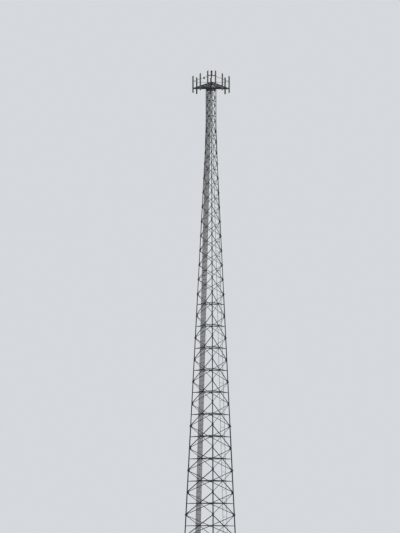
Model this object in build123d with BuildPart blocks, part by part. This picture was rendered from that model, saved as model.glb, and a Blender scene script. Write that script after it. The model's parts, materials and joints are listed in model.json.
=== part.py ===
import math
import os

from build123d import *

os.makedirs("parts", exist_ok=True)

# Self-supporting radio mast with three tubular legs, at half its real size.
# Millimetres, Z up. The origin is the middle of the underside of the front leg's base flange.
# The front leg stands towards -Y, so the tower's axis is at +Y of the origin.

# Tower outline
section_height = 3048.0
tapered_sections = 10
base_face = 3635.0
face_taper = 304.3
top_panel_pitch = 540.0
top_panels = 4
head_length = 340.0

# Round pieces are drawn with a few flat sides, as wide across the flats as the real diameter
leg_sides = 12
pipe_sides = 8
beacon_sides = 24

# Legs, from the bottom section to the top one
leg_diameters = [84, 84, 84, 70.5, 70.5, 70.5, 57, 57, 51, 44.5, 36.5]
flange_sides = [160, 160, 160, 134, 134, 134, 108, 108, 98, 85, 76]
flange_thickness = 13.0
weld_depth = 6.0

# Base flanges
base_side = 200.0
base_thickness = 18.0
anchor_hole_diameter = 14.0
anchor_circle_diameter = 200.0
anchor_bolts = 4

# Face bracing of rolled angle, from the bottom section to the top one
brace_widths = [45, 45, 42, 38, 38, 35, 32, 32, 30, 27, 22]
brace_thickness = 4.0
panel_counts = [2, 2, 2, 2, 2, 2, 3, 3, 3, 4, top_panels]
bolted_sections = 6
node_gap = 36.0
seat_clearance = 0.3
gusset_thickness = 6.0
gusset_flange_gap = 2.0
gusset_snip = 18.0
plan_bar_width = 38.0
plan_bar_thickness = 4.0
plan_bar_offset = 135.0

# Ladders that stand off the two front faces
ladder_standoff = 66.0
ladder_width = 610.0
ladder_foot = 150.0
ladder_head_drop = 120.0
rail_depth = 25.0
rail_thickness = 6.0
cross_bar_height = 24.0
cross_bar_least_pitch = 900.0

# Feeder lines on the left ladder
feeder_diameter = 20.0
feeder_count = 12
feeder_pitch = 50.0
first_feeder_inset = 38.0
feeder_foot = 100.0
feeder_head_drop = 100.0

# Platform, which is clamped to the legs a little turned
platform_side = 2500.0
head_turn = -2.6
platform_drop = 45.0
channel_depth = 90.0
channel_flange = 40.0
channel_thickness = 5.0
miter_gap = 0.5
arm_size = 50.0
bearer_inset = 450.0
bearer_width = 30.0
bearer_depth = 40.0
deck_thickness = 20.0
deck_leg_clearance = 22.0
deck_panel_gap = 3.0
collar_drop = 362.0
collar_height = 80.0
collar_thickness = 10.0
knee_drop = 150.0
knee_depth = 42.0
knee_width = 30.0
top_bar_size = 24.0
top_bar_drop = 40.0

# Antennas and the rail round the platform
antenna_pipe_diameter = 30.0
antenna_pipe_length = 1270.0
antenna_pipe_drop = 485.0
antenna_pipe_reach = 130.0
antenna_spacing = 1000.0
standoff_size = 30.0
panel_width = 105.0
panel_depth = 50.0
panel_height = 1160.0
panel_corner = 14.0
bracket_width = 34.0
bracket_height = 50.0
bracket_depth = 12.0
bracket_end_distance = 170.0
rail_rise = 385.0
rail_diameter = 24.0
rail_overrun = 20.0
radio_width = 110.0
radio_depth = 60.0
radio_height = 150.0
radio_offset = 470.0
radio_lift = 20.0

# Beacon on the front leg
post_diameter = 30.0
post_height = 620.0
post_flange_thickness = 10.0
cap_thickness = 8.0
beacon_diameter = 150.0
beacon_base_height = 52.0
beacon_cap_height = 105.0
lens_diameter = 136.0
lens_height = 198.0
box_width = 80.0
box_depth = 50.0
box_height = 110.0
box_rise = 480.0

# Derived outline
taper_height = tapered_sections * section_height
tower_height = taper_height + top_panels * top_panel_pitch + head_length
axis_y = base_face / math.sqrt(3)
face_lean = math.atan(face_taper / section_height / (2 * math.sqrt(3)))
leg_lean_in_face = math.atan(face_taper / section_height / 2)
gusset_half = gusset_thickness / 2

leg_angles = {"front": -90, "right": 30, "left": 150}
left_face = 210
right_face = -30
rear_face = 90
face_angles = [left_face, right_face, rear_face]
platform_angles = [angle + head_turn for angle in face_angles]
corner_angles = [angle + head_turn for angle in leg_angles.values()]


def face_width(z):
    """Distance between two leg centres at a height."""
    return base_face - face_taper * min(z, taper_height) / section_height


def leg_radius(z):
    """Distance from the tower's axis to a leg centre."""
    return face_width(z) / math.sqrt(3)


def face_inset(z):
    """Distance from the tower's axis to a face."""
    return face_width(z) / (2 * math.sqrt(3))


def polar_point(radius, angle, z):
    """Point at a radius and an angle about the tower's axis."""
    turn = math.radians(angle)
    return Vector(radius * math.cos(turn), axis_y + radius * math.sin(turn), z)


def leg_point(angle, z):
    return polar_point(leg_radius(z), angle, z)


def face_plane(angle, z):
    """Plane of a tower face: X along it, Y up its slope, Z out of the tower."""
    lean = face_lean if z < taper_height else 0
    turn = math.radians(angle)
    outward = Vector(math.cos(turn), math.sin(turn), 0)
    along = Vector(-math.sin(turn), math.cos(turn), 0)
    normal = outward * math.cos(lean) + Vector(0, 0, math.sin(lean))
    return Plane(origin=polar_point(face_inset(z), angle, z), x_dir=along, z_dir=normal)


def upright_plane(angle, radius, z=0):
    """Upright plane that faces out from the axis: X along the face, Y up."""
    turn = math.radians(angle)
    outward = Vector(math.cos(turn), math.sin(turn), 0)
    along = Vector(-math.sin(turn), math.cos(turn), 0)
    return Plane(origin=polar_point(radius, angle, z), x_dir=along, z_dir=outward)


def section_levels(number):
    """Heights of the bottom and the top of a section, counted from 1."""
    low = (number - 1) * section_height
    if number <= tapered_sections:
        return low, low + section_height
    return low, low + top_panels * top_panel_pitch


def side_plane(angle, offset):
    """Upright plane through the axis and square to a face: X outward, Y up, moved along the face."""
    turn = math.radians(angle)
    outward = Vector(math.cos(turn), math.sin(turn), 0)
    along = Vector(-math.sin(turn), math.cos(turn), 0)
    return Plane(origin=Vector(0, axis_y, 0) + along * offset, x_dir=outward, z_dir=along * -1)


def level_plane(z, angle=0):
    """Level plane on the tower's axis, with X towards an angle."""
    turn = math.radians(angle)
    return Plane(origin=(0, axis_y, z), x_dir=(math.cos(turn), math.sin(turn), 0), z_dir=(0, 0, 1))


def outline_along_face(depth, foot, head):
    """Side view of a line at a distance out of the face, which bends where the taper ends."""
    top_inset = face_inset(taper_height)
    bend_height = taper_height + depth * math.tan(face_lean / 2)
    return [(face_inset(foot) + depth / math.cos(face_lean), foot),
            (top_inset + depth, bend_height), (top_inset + depth, head)]


def write(part, name):
    part.label = name
    export_step(part, f"parts/{name}.step")


def face_half(number, rise):
    """Half the leg spacing at a rise up the slope of a section's face."""
    low, high = section_levels(number)
    spread = rise / slope_length(number)
    return (face_width(low) + (face_width(high) - face_width(low)) * spread) / 2


def slope_length(number):
    """Length of a section's face, measured up its slope."""
    low, high = section_levels(number)
    lean = face_lean if number <= tapered_sections else 0
    return (high - low) / math.cos(lean)


def leg_reach(number):
    """Distance in the face from a leg's centre line to the bars and plates that end at it."""
    lean = leg_lean_in_face if number <= tapered_sections else 0
    return (leg_diameters[number - 1] / 2 + seat_clearance) / math.cos(lean)


def plate_half(number):
    """Distance from a face's middle plane to the angles on each side of it."""
    return gusset_half if number <= bolted_sections else 0


def triangle(inset, mode=Mode.ADD):
    """Triangle with its corners over the legs, its sides at a distance from the axis."""
    RegularPolygon(inset, 3, major_radius=False, rotation=right_face + 60, mode=mode)


def panel_nodes(number):
    """Rises of a section's panel points, from its bottom to its top."""
    count = panel_counts[number - 1]
    return [slope_length(number) * step / count for step in range(count + 1)]


def crossing_rise(number, low_rise, high_rise):
    """Rise at which the two diagonals of a panel cross."""
    low_half = face_half(number, low_rise)
    high_half = face_half(number, high_rise)
    return low_rise + (high_rise - low_rise) * low_half / (low_half + high_half)


def panel_rises(number):
    """Rises of the lower and upper ends of the diagonals in each panel."""
    nodes = panel_nodes(number)
    return [(low + node_gap, high - node_gap) for low, high in zip(nodes, nodes[1:])]


def panel_level(number, low_rise, high_rise):
    """Height at which the two diagonals of a panel cross."""
    low, high = section_levels(number)
    return low + (high - low) * crossing_rise(number, low_rise, high_rise) / slope_length(number)


def gusset_length(number):
    """Length of a section's gusset plates along the face, from the leg's surface."""
    return 2 * brace_widths[number - 1]


def gusset_half_height(number):
    return node_gap + brace_widths[number - 1]


def round_bar(diameter, sides, rotation=0):
    """Outline of a round bar with flat sides, one of them square to the sketch's X at a rotation of 0."""
    RegularPolygon(diameter / 2, sides, major_radius=False, rotation=rotation + 180 / sides)


# Legs: a tube with a square flange at each end, three to a section
for number in range(1, tapered_sections + 2):
    low, high = section_levels(number)
    if number > tapered_sections:
        high = tower_height
    lower_side = base_side if number == 1 else flange_sides[number - 2]
    upper_side = flange_sides[number - 1]
    lower_thickness = base_thickness if number == 1 else flange_thickness
    with BuildPart() as legs:
        for angle in leg_angles.values():
            foot = leg_point(angle, low)
            head = leg_point(angle, high)
            with BuildSketch(Plane(origin=foot)):
                Rectangle(lower_side, lower_side, rotation=angle)
                if number == 1:
                    with PolarLocations(anchor_circle_diameter / 2, anchor_bolts, angle + 45):
                        Circle(anchor_hole_diameter / 2, mode=Mode.SUBTRACT)
            extrude(amount=lower_thickness)
            with BuildSketch(Plane(origin=head)):
                Rectangle(upper_side, upper_side, rotation=angle)
            extrude(amount=-flange_thickness)
            leg_line = head - foot
            start = foot + leg_line.normalized() * weld_depth
            outward = upright_plane(angle, 0).z_dir
            with BuildSketch(Plane(origin=start, x_dir=outward, z_dir=leg_line)):
                round_bar(leg_diameters[number - 1], leg_sides)
            extrude(amount=leg_line.length - 2 * weld_depth)
    write(legs.part, f"section_{number:02d}_legs")


def angle_bar(face, start, end, width, side, plate_half):
    """Rolled angle along a line in a face: side is 1 outside the plates in the face, -1 inside them.

    An angle inside is one from outside turned half round its length, so its upright leg is below."""
    run = Vector(end[0] - start[0], end[1] - start[1], 0)
    direction = face.x_dir * run.X + face.y_dir * run.Y
    heel_side = (face.x_dir * -run.Y + face.y_dir * run.X) * side
    origin = face.origin + face.x_dir * start[0] + face.y_dir * start[1]
    half = width / 2
    flat = plate_half + brace_thickness
    tip = plate_half + width
    with BuildSketch(Plane(origin=origin, x_dir=heel_side, z_dir=direction)) as profile:
        with BuildLine():
            Polyline((-half, plate_half), (half, plate_half), (half, tip), (half - brace_thickness, tip),
                     (half - brace_thickness, flat), (-half, flat), close=True)
        make_face()
    extrude(profile.sketch, amount=run.length)


# Face bracing: crossed angles in each panel. The bolted sections have gussets and a flat horizontal
# between the two angles; further up the angles lie back to back and are welded to the legs
for number in range(1, tapered_sections + 2):
    width = brace_widths[number - 1]
    face = face_plane(rear_face, section_levels(number)[0])
    with BuildPart() as face_bracing:
        for low_rise, high_rise in panel_rises(number):
            low_half = face_half(number, low_rise)
            high_half = face_half(number, high_rise)
            angle_bar(face, (-low_half, low_rise), (high_half, high_rise), width, 1, plate_half(number))
            angle_bar(face, (-high_half, high_rise), (low_half, low_rise), width, -1, plate_half(number))
            if number <= bolted_sections:
                middle = crossing_rise(number, low_rise, high_rise)
                with BuildSketch(face):
                    with Locations((0, middle)):
                        Rectangle(2 * low_half, width)
                extrude(amount=gusset_half, both=True)
        low_clear = face_half(number, 0) - leg_reach(number)
        high_clear = face_half(number, slope_length(number)) - leg_reach(number)
        with BuildSketch(face):
            Polygon((-low_clear, 0), (low_clear, 0), (high_clear, slope_length(number)),
                    (-high_clear, slope_length(number)), align=None)
        extrude(amount=2 * width, both=True, mode=Mode.INTERSECT)
    with BuildPart() as bracing:
        for angle in face_angles:
            turn = Location((0, axis_y, 0)) * Rotation(0, 0, angle - rear_face) * Location((0, -axis_y, 0))
            with Locations(turn):
                add(face_bracing.part)
    write(bracing.part, f"section_{number:02d}_bracing")


# Gusset plates between the two angles at each panel point, one against each side of a leg
with BuildPart() as gussets:
    for number in range(1, bolted_sections + 1):
        length = gusset_length(number)
        depth = gusset_half_height(number)
        top = slope_length(number)
        spans = [(rise - depth, rise + depth) for rise in panel_nodes(number)]
        foot_thickness = base_thickness if number == 1 else flange_thickness
        spans[0] = (foot_thickness + gusset_flange_gap, depth)
        spans[-1] = (top - depth, top - flange_thickness - gusset_flange_gap)
        for angle in face_angles:
            with BuildSketch(face_plane(angle, section_levels(number)[0])):
                for side in (-1, 1):
                    for low_rise, high_rise in spans:
                        middle = (low_rise + high_rise) / 2
                        low_edge = face_half(number, low_rise) - leg_reach(number)
                        high_edge = face_half(number, high_rise) - leg_reach(number)
                        inner_edge = face_half(number, middle) - leg_reach(number) - length
                        Polygon((side * low_edge, low_rise), (side * high_edge, high_rise),
                                (side * inner_edge, high_rise - gusset_snip),
                                (side * inner_edge, low_rise + gusset_snip), align=None)
            extrude(amount=gusset_half, both=True)
write(gussets.part, "gusset_plates")


# Plan bracing: at each horizontal a level angle across each corner, from one face to the next
with BuildPart() as plan_bracing:
    for number in range(1, bolted_sections + 1):
        for low_rise, high_rise in panel_rises(number):
            level = panel_level(number, low_rise, high_rise)
            reach = face_inset(level) / 2 + plan_bar_offset
            end_inset = face_inset(level + plan_bar_width / 2) - gusset_half - seat_clearance
            for width, depth in ((plan_bar_width, plan_bar_thickness), (plan_bar_thickness, plan_bar_width)):
                with BuildSketch(level_plane(level - plan_bar_width / 2)):
                    RegularPolygon(reach, 3, major_radius=False, rotation=rear_face)
                    RegularPolygon(reach - width, 3, major_radius=False, rotation=rear_face, mode=Mode.SUBTRACT)
                    triangle(end_inset, mode=Mode.INTERSECT)
                extrude(amount=depth)
write(plan_bracing.part, "plan_bracing")


# Ladders: two rails on cross bars that rest on the tips of the bracing
for angle, name in ((left_face, "feeder_ladder"), (right_face, "spare_ladder")):
    head = tower_height - ladder_head_drop
    inner_line = outline_along_face(ladder_standoff, ladder_foot, head)
    outer_line = outline_along_face(ladder_standoff + rail_depth, ladder_foot, head)
    with BuildPart() as ladder:
        for side in (-1, 1):
            with BuildSketch(side_plane(angle, side * ladder_width / 2)):
                Polygon(*inner_line, *reversed(outer_line), align=None)
            extrude(amount=rail_thickness / 2, both=True)
        for number in range(1, tapered_sections + 2):
            width = brace_widths[number - 1]
            depth = plate_half(number) + width
            bar_shift = (width - brace_thickness) / 2
            panels_per_bar = math.ceil(cross_bar_least_pitch / panel_nodes(number)[1])
            with BuildSketch(face_plane(angle, section_levels(number)[0]).offset(depth)):
                for low_rise, high_rise in panel_rises(number)[::panels_per_bar]:
                    with Locations((0, crossing_rise(number, low_rise, high_rise) + bar_shift)):
                        Rectangle(ladder_width + rail_thickness, cross_bar_height)
            extrude(amount=ladder_standoff + rail_depth - depth)
    write(ladder.part, name)

# Feeder lines, clamped on the outside of the left ladder's cross bars
with BuildPart() as feeder_lines:
    for step in range(feeder_count):
        offset = first_feeder_inset + step * feeder_pitch - ladder_width / 2
        depth = ladder_standoff + rail_depth + feeder_diameter / 2
        feeder_plane = side_plane(left_face, offset)
        with BuildLine(feeder_plane) as route:
            Polyline(*outline_along_face(depth, feeder_foot, tower_height - feeder_head_drop))
        with BuildSketch(Plane(origin=route.line @ 0, x_dir=feeder_plane.z_dir, z_dir=route.line % 0)):
            round_bar(feeder_diameter, pipe_sides)
        sweep(path=route.line, transition=Transition.RIGHT)
write(feeder_lines.part, "feeder_lines")

# Platform: a triangle of channels on three arms from the legs
frame_inset = platform_side / (2 * math.sqrt(3))
frame_top = tower_height - platform_drop
frame_bottom = frame_top - channel_depth
arm_bottom = frame_bottom + channel_thickness
arm_top = arm_bottom + arm_size
inner_inset = frame_inset - channel_thickness - seat_clearance
antenna_pipe_inset = frame_inset + antenna_pipe_reach
top_leg = leg_diameters[-1] / 2
top_radius = leg_radius(taper_height)
top_inset = face_inset(taper_height)


def corner_slits(width, z, depth, angles):
    """Narrow cuts through the corners of a triangle, which part its three sides."""
    for angle in angles:
        with BuildSketch(level_plane(z, angle)) as slit:
            Rectangle(2 * platform_side, width, align=(Align.MIN, Align.CENTER))
        extrude(slit.sketch, amount=depth, mode=Mode.SUBTRACT)


with BuildPart() as platform_frame:
    with BuildSketch(level_plane(frame_bottom, head_turn)):
        triangle(frame_inset)
        triangle(frame_inset - channel_thickness, mode=Mode.SUBTRACT)
    extrude(amount=channel_depth)
    with BuildSketch(level_plane(frame_bottom, head_turn), level_plane(frame_top - channel_thickness, head_turn)):
        triangle(frame_inset)
        triangle(frame_inset - channel_flange, mode=Mode.SUBTRACT)
    extrude(amount=channel_thickness)
    corner_slits(miter_gap, frame_bottom, channel_depth, corner_angles)
write(platform_frame.part, "platform_frame")

arm_foot = top_radius + top_leg
with BuildPart() as platform_arms:
    for angle in leg_angles.values():
        with BuildSketch(level_plane(arm_bottom, angle)):
            with Locations((arm_foot, 0)):
                Rectangle(platform_side, arm_size, align=(Align.MIN, Align.CENTER))
        extrude(amount=arm_size)
    with BuildSketch(level_plane(arm_bottom, head_turn)):
        triangle(inner_inset)
    extrude(amount=arm_size, mode=Mode.INTERSECT)
    for angle in leg_angles.values():
        with BuildSketch(side_plane(angle, 0)):
            Polygon((arm_foot, arm_bottom - knee_drop), (arm_foot, arm_bottom - knee_drop + knee_depth),
                    (arm_foot + knee_drop - knee_depth, arm_bottom), (arm_foot + knee_drop, arm_bottom),
                    align=None)
        extrude(amount=knee_width / 2, both=True)
write(platform_arms.part, "platform_arms")

with BuildPart() as platform_bearers:
    with BuildSketch(level_plane(arm_top - bearer_depth, head_turn)):
        triangle(bearer_inset + bearer_width / 2)
        triangle(bearer_inset - bearer_width / 2, mode=Mode.SUBTRACT)
    extrude(amount=bearer_depth)
    corner_slits(arm_size + 2 * seat_clearance, arm_top - bearer_depth, bearer_depth, leg_angles.values())
write(platform_bearers.part, "platform_bearers")

with BuildPart() as platform_deck:
    with BuildSketch(level_plane(arm_top, head_turn)):
        triangle(inner_inset)
        triangle(top_inset + top_leg + deck_leg_clearance, mode=Mode.SUBTRACT)
    extrude(amount=deck_thickness)
    corner_slits(deck_panel_gap, arm_top, deck_thickness, corner_angles)
write(platform_deck.part, "platform_deck")

collar_bottom = tower_height - collar_drop
with BuildPart() as leg_collar:
    with BuildSketch(level_plane(collar_bottom)):
        triangle(top_inset + top_leg + collar_thickness)
        triangle(top_inset + top_leg, mode=Mode.SUBTRACT)
    extrude(amount=collar_height)
    corner_slits(miter_gap, collar_bottom, collar_height, leg_angles.values())
write(leg_collar.part, "leg_collar")

with BuildPart() as top_bars:
    clear_length = 2 * (face_width(taper_height) / 2 - top_leg)
    for angle in face_angles:
        with BuildSketch(upright_plane(angle, top_inset, tower_height - top_bar_drop)):
            Rectangle(clear_length, top_bar_size)
        extrude(amount=top_bar_size)
write(top_bars.part, "top_bars")

# Antenna pipes and what holds them to the platform
pipe_bottom = tower_height - antenna_pipe_drop
pipe_radius = antenna_pipe_diameter / 2
antenna_offsets = [-antenna_spacing, 0, antenna_spacing]
with BuildPart() as antenna_pipes:
    for angle in platform_angles:
        with BuildSketch(level_plane(pipe_bottom, angle)):
            with Locations(*[(antenna_pipe_inset, offset) for offset in antenna_offsets]):
                round_bar(antenna_pipe_diameter, pipe_sides)
        extrude(amount=antenna_pipe_length)
write(antenna_pipes.part, "antenna_pipes")

with BuildPart() as pipe_standoffs:
    for angle in platform_angles:
        with BuildSketch(upright_plane(angle, frame_inset, frame_bottom + channel_depth / 2)):
            with Locations(*[(offset, 0) for offset in antenna_offsets]):
                Rectangle(standoff_size, standoff_size)
        extrude(amount=antenna_pipe_inset - pipe_radius - frame_inset)
write(pipe_standoffs.part, "pipe_standoffs")

rail_inset = antenna_pipe_inset - pipe_radius - rail_diameter / 2
rail_level = tower_height + rail_rise
with BuildPart() as guard_rail:
    rail_end = antenna_spacing + rail_overrun
    corners = []
    for angle in (right_face, rear_face, left_face):
        plane = upright_plane(angle + head_turn, rail_inset, rail_level)
        corners += [plane.origin - plane.x_dir * rail_end, plane.origin + plane.x_dir * rail_end]
    with BuildLine() as rail_route:
        Polyline(*corners, close=True)
    with BuildSketch(Plane(origin=rail_route.line @ 0, x_dir=(0, 0, 1), z_dir=rail_route.line % 0)):
        round_bar(rail_diameter, pipe_sides)
    sweep(path=rail_route.line, transition=Transition.RIGHT)
write(guard_rail.part, "guard_rail")

# Panel antennas with their brackets
panel_back = antenna_pipe_inset + pipe_radius + bracket_depth
panel_bottom = pipe_bottom + (antenna_pipe_length - panel_height) / 2
with BuildPart() as antennas:
    for angle in platform_angles:
        with BuildSketch(level_plane(panel_bottom, angle)) as outline:
            with Locations(*[(panel_back, offset) for offset in antenna_offsets]):
                Rectangle(panel_depth, panel_width, align=(Align.MIN, Align.CENTER))
            outward = upright_plane(angle, 0).z_dir
            front_corners = outline.vertices().group_by(Axis((0, 0, 0), outward))[-1]
            fillet(front_corners, panel_corner)
        extrude(amount=panel_height)
write(antennas.part, "panel_antennas")

with BuildPart() as antenna_brackets:
    heights = [bracket_end_distance, antenna_pipe_length - bracket_end_distance]
    for angle in platform_angles:
        with BuildSketch(upright_plane(angle, antenna_pipe_inset + pipe_radius, pipe_bottom)):
            with Locations(*[(offset, height) for offset in antenna_offsets for height in heights]):
                Rectangle(bracket_width, bracket_height)
        extrude(amount=bracket_depth)
write(antenna_brackets.part, "antenna_brackets")

with BuildPart() as radio_unit:
    with BuildSketch(upright_plane(left_face + head_turn, rail_inset + rail_diameter / 2, rail_level)):
        with Locations((radio_offset, radio_lift)):
            Rectangle(radio_width, radio_height, align=(Align.CENTER, Align.MAX))
    extrude(amount=radio_depth)
write(radio_unit.part, "radio_unit")

# Leg caps, and the beacon on its post over the front leg
top_side = flange_sides[-1]
with BuildPart() as leg_caps:
    for name in ("left", "right"):
        with BuildSketch(Plane(origin=leg_point(leg_angles[name], tower_height))):
            Rectangle(top_side, top_side, rotation=leg_angles[name])
        extrude(amount=cap_thickness)
write(leg_caps.part, "leg_caps")

post_foot = leg_point(leg_angles["front"], tower_height)
with BuildPart() as beacon_post:
    with BuildSketch(Plane(origin=post_foot)):
        Rectangle(top_side, top_side)
    extrude(amount=post_flange_thickness)
    with BuildSketch(Plane(origin=post_foot)):
        round_bar(post_diameter, leg_sides)
    extrude(amount=post_height)
write(beacon_post.part, "beacon_post")

beacon_foot = post_foot + Vector(0, 0, post_height)
lens_foot = beacon_foot + Vector(0, 0, beacon_base_height)
with BuildPart() as beacon_housing:
    with BuildSketch(Plane(origin=beacon_foot)):
        round_bar(beacon_diameter, beacon_sides)
    extrude(amount=beacon_base_height)
    with BuildSketch(Plane(origin=lens_foot + Vector(0, 0, lens_height))):
        round_bar(beacon_diameter, beacon_sides)
    extrude(amount=beacon_cap_height)
write(beacon_housing.part, "beacon_housing")

with BuildPart() as beacon_lens:
    with BuildSketch(Plane(origin=lens_foot)):
        round_bar(lens_diameter, beacon_sides)
    extrude(amount=lens_height)
write(beacon_lens.part, "beacon_lens")

with BuildPart() as junction_box:
    with BuildSketch(Plane(origin=post_foot + Vector(0, post_diameter / 2, box_rise))):
        Rectangle(box_width, box_depth, align=(Align.CENTER, Align.MIN))
    extrude(amount=box_height)
write(junction_box.part, "junction_box")
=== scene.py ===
import json
import math

import bmesh
import bpy
from mathutils import Matrix, Vector


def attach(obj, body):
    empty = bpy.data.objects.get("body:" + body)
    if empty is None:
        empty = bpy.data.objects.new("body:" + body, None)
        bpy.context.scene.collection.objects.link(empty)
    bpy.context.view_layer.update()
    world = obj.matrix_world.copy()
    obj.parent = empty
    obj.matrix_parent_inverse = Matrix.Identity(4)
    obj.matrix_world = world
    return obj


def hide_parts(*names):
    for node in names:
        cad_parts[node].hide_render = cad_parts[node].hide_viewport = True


bl_info = {
    "name": "Lattice Radio Mast",
    "version": (1, 0, 0),
    "blender": (4, 5, 0),
    "location": "3D View > Sidebar > Mast",
    "description": "Dresses the half-size radio mast with its bolts, lines, antennas, wire mesh and finishes",
    "category": "Add Mesh",
}

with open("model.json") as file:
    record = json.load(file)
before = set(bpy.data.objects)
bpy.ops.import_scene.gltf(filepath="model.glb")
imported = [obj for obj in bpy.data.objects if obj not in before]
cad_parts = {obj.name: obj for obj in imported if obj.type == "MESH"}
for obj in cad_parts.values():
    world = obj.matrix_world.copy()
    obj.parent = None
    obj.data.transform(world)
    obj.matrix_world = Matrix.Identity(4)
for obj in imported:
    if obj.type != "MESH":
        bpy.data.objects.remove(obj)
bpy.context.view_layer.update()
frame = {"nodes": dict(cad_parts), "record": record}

# The tower in metres, as the frame has it. The front leg's foot is at the origin.
SECTION_HEIGHT = 3.048
TAPERED_SECTIONS = 10
TAPER_TOP = TAPERED_SECTIONS * SECTION_HEIGHT
BASE_FACE = 3.635
FACE_TAPER = 0.3043
LEG_TOP = 32.98
TOP_PANELS_TOP = 32.64
AXIS_Y = BASE_FACE / math.sqrt(3)
FACE_LEAN = math.atan(FACE_TAPER / SECTION_HEIGHT / (2 * math.sqrt(3)))
LEG_ANGLES = (-90, 30, 150)
LEFT_FACE = 210
RIGHT_FACE = -30
REAR_FACE = 90
FACE_ANGLES = (LEFT_FACE, RIGHT_FACE, REAR_FACE)
SECTIONS = range(1, TAPERED_SECTIONS + 2)
BOLTED_SECTIONS = 6

# Legs, flanges and anchors. Each list runs from the lowest section up. Flange bolts are shares of a side.
LEG_DIAMETERS = (0.084, 0.084, 0.084, 0.0705, 0.0705, 0.0705, 0.057, 0.057, 0.051, 0.0445, 0.0365)
LEG_WELD = 0.005
TUBE_INSET = 0.004
FLANGE_SIDES = (0.16, 0.16, 0.16, 0.134, 0.134, 0.134, 0.108, 0.108, 0.098, 0.085, 0.076)
FLANGE_THICKNESS = 0.013
FLANGE_CORNER = 0.008
FLANGE_BOLT_SHARE = 0.075
FLANGE_BOLT_REACH = 0.36
CAP_THICKNESS = 0.008
CAP_BOLT_SIZE = 0.0065
RIB_THICKNESS = 0.006
RIB_HEIGHT = 0.055
BASE_SIDE = 0.2
BASE_THICKNESS = 0.018
ANCHOR_REACH = 0.1
ANCHOR_ROD_RADIUS = 0.006
ANCHOR_ROD_HEIGHT = 0.066
ANCHOR_NUT_WIDTH = 0.0185
ANCHOR_WASHER_RADIUS = 0.0125
ANCHOR_HOLE_RADIUS = 0.007

# Bracing and its panel points. Its bolts and crossing plates are given in widths of the angle bar.
BRACE_WIDTHS = (0.045, 0.045, 0.042, 0.038, 0.038, 0.035, 0.032, 0.032, 0.03, 0.027, 0.022)
BRACE_THICKNESS = 0.004
BOLT_SHARE = 0.2
END_BOLT_STEPS = (0.6, 1.35)
CROSSING_LENGTH = 5.5
CROSSING_HEIGHT = 2.5
CROSSING_SNIP = 0.5
CROSSING_BOLT_MARGIN = 0.38
CROSSING_BOLT_REACH = 1.87
PANEL_COUNTS = (2, 2, 2, 2, 2, 2, 3, 3, 3, 4, 4)
NODE_GAP = 0.036
SLEEVE_HALF = 0.06
GUSSET_HALF = 0.003
CROSSING_THICKNESS = 0.0056

# Ladders and feeder lines.
LADDER_STANDOFF = 0.066
RAIL_DEPTH = 0.025
LADDER_FRONT = LADDER_STANDOFF + RAIL_DEPTH
LADDER_WIDTH = 0.61
RUNG_LENGTH = LADDER_WIDTH - 0.0055
LADDER_FOOT = 0.15
LADDER_HEAD = 32.86
CROSS_BAR_LEAST_PITCH = 0.9
FEEDER_FOOT = 0.1
FEEDER_HEAD = 32.88
FEEDER_DIAMETER = 0.02
FEEDER_MARGIN = 0.038
FEEDER_PITCH = 0.05
FEEDER_COUNT = 12
FEEDER_OFFSETS = [FEEDER_MARGIN - LADDER_WIDTH / 2 + FEEDER_PITCH * step for step in range(FEEDER_COUNT)]

# Platform, antennas and guard rail. The head is turned a little against the tower.
HEAD_TURN = -2.6
PLATFORM_ANGLES = [angle + HEAD_TURN for angle in FACE_ANGLES]
PLATFORM_SIDE = 2.5
FRAME_INSET = PLATFORM_SIDE / (2 * math.sqrt(3))
FRAME_MIDDLE = 32.89
DECK_INSET = FRAME_INSET - 0.0053
DECK_OPENING = 0.21145
DECK_BOTTOM = 32.9
DECK_THICKNESS = 0.02
ANTENNA_INSET = FRAME_INSET + 0.13
ANTENNA_OFFSETS = (-1.0, 0.0, 1.0)
ANTENNA_HEIGHT = 1.16
ANTENNA_WIDTH = 0.105
ANTENNA_DEPTH = 0.05
PIPE_RADIUS = 0.015
PIPE_BOTTOM = 32.495
PIPE_LENGTH = 1.27
ANTENNA_BACK = ANTENNA_INSET + PIPE_RADIUS + 0.012
ANTENNA_LOW = PIPE_BOTTOM + (PIPE_LENGTH - ANTENNA_HEIGHT) / 2
U_BOLT_RADIUS = 0.0026
RAIL_RADIUS = 0.012
RAIL_INSET = ANTENNA_INSET - PIPE_RADIUS - RAIL_RADIUS
RAIL_LEVEL = 33.365
RAIL_END = 1.02

# Beacon and its junction box, with their heights above the top of the front leg.
POST_RADIUS = 0.015
POST_HEIGHT = 0.62
POST_FOOT_SIDE = 0.076
POST_FOOT_THICKNESS = 0.01
BEACON_SIDES = 48
BEACON_RADIUS = 0.075
BEACON_SCREWS_REACH = 0.0705
BEACON_TOP = 0.975
LENS_RADIUS = 0.0655
LENS_LOW = 0.672
LENS_HIGH = 0.87
LENS_RIBS = 12
LENS_INSET = 0.001
BOX_BOTTOM = 0.48
BOX_SIZE = (0.074, 0.036, 0.104)
LID_SIZE = (0.08, 0.013, 0.11)


def face_width(z):
    """Distance between two leg centres at a height."""
    return BASE_FACE - FACE_TAPER * min(z, TAPER_TOP) / SECTION_HEIGHT


def face_inset(z):
    """Distance from the tower's axis to a face at a height."""
    return face_width(z) / (2 * math.sqrt(3))


def leg_point(angle, z):
    """Middle of a leg at a height."""
    turn = math.radians(angle)
    radius = 2 * face_inset(z)
    return Vector((radius * math.cos(turn), AXIS_Y + radius * math.sin(turn), z))


def section_levels(number):
    """Heights between which a section has its panels."""
    low = (number - 1) * SECTION_HEIGHT
    return (low, low + SECTION_HEIGHT) if number <= TAPERED_SECTIONS else (low, TOP_PANELS_TOP)


def joint_level(number):
    """Height of the joint above a section, or of the top of the legs."""
    return section_levels(number)[1] if number <= TAPERED_SECTIONS else LEG_TOP


def slope_length(number):
    low, high = section_levels(number)
    return (high - low) / math.cos(FACE_LEAN if number <= TAPERED_SECTIONS else 0)


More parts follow.
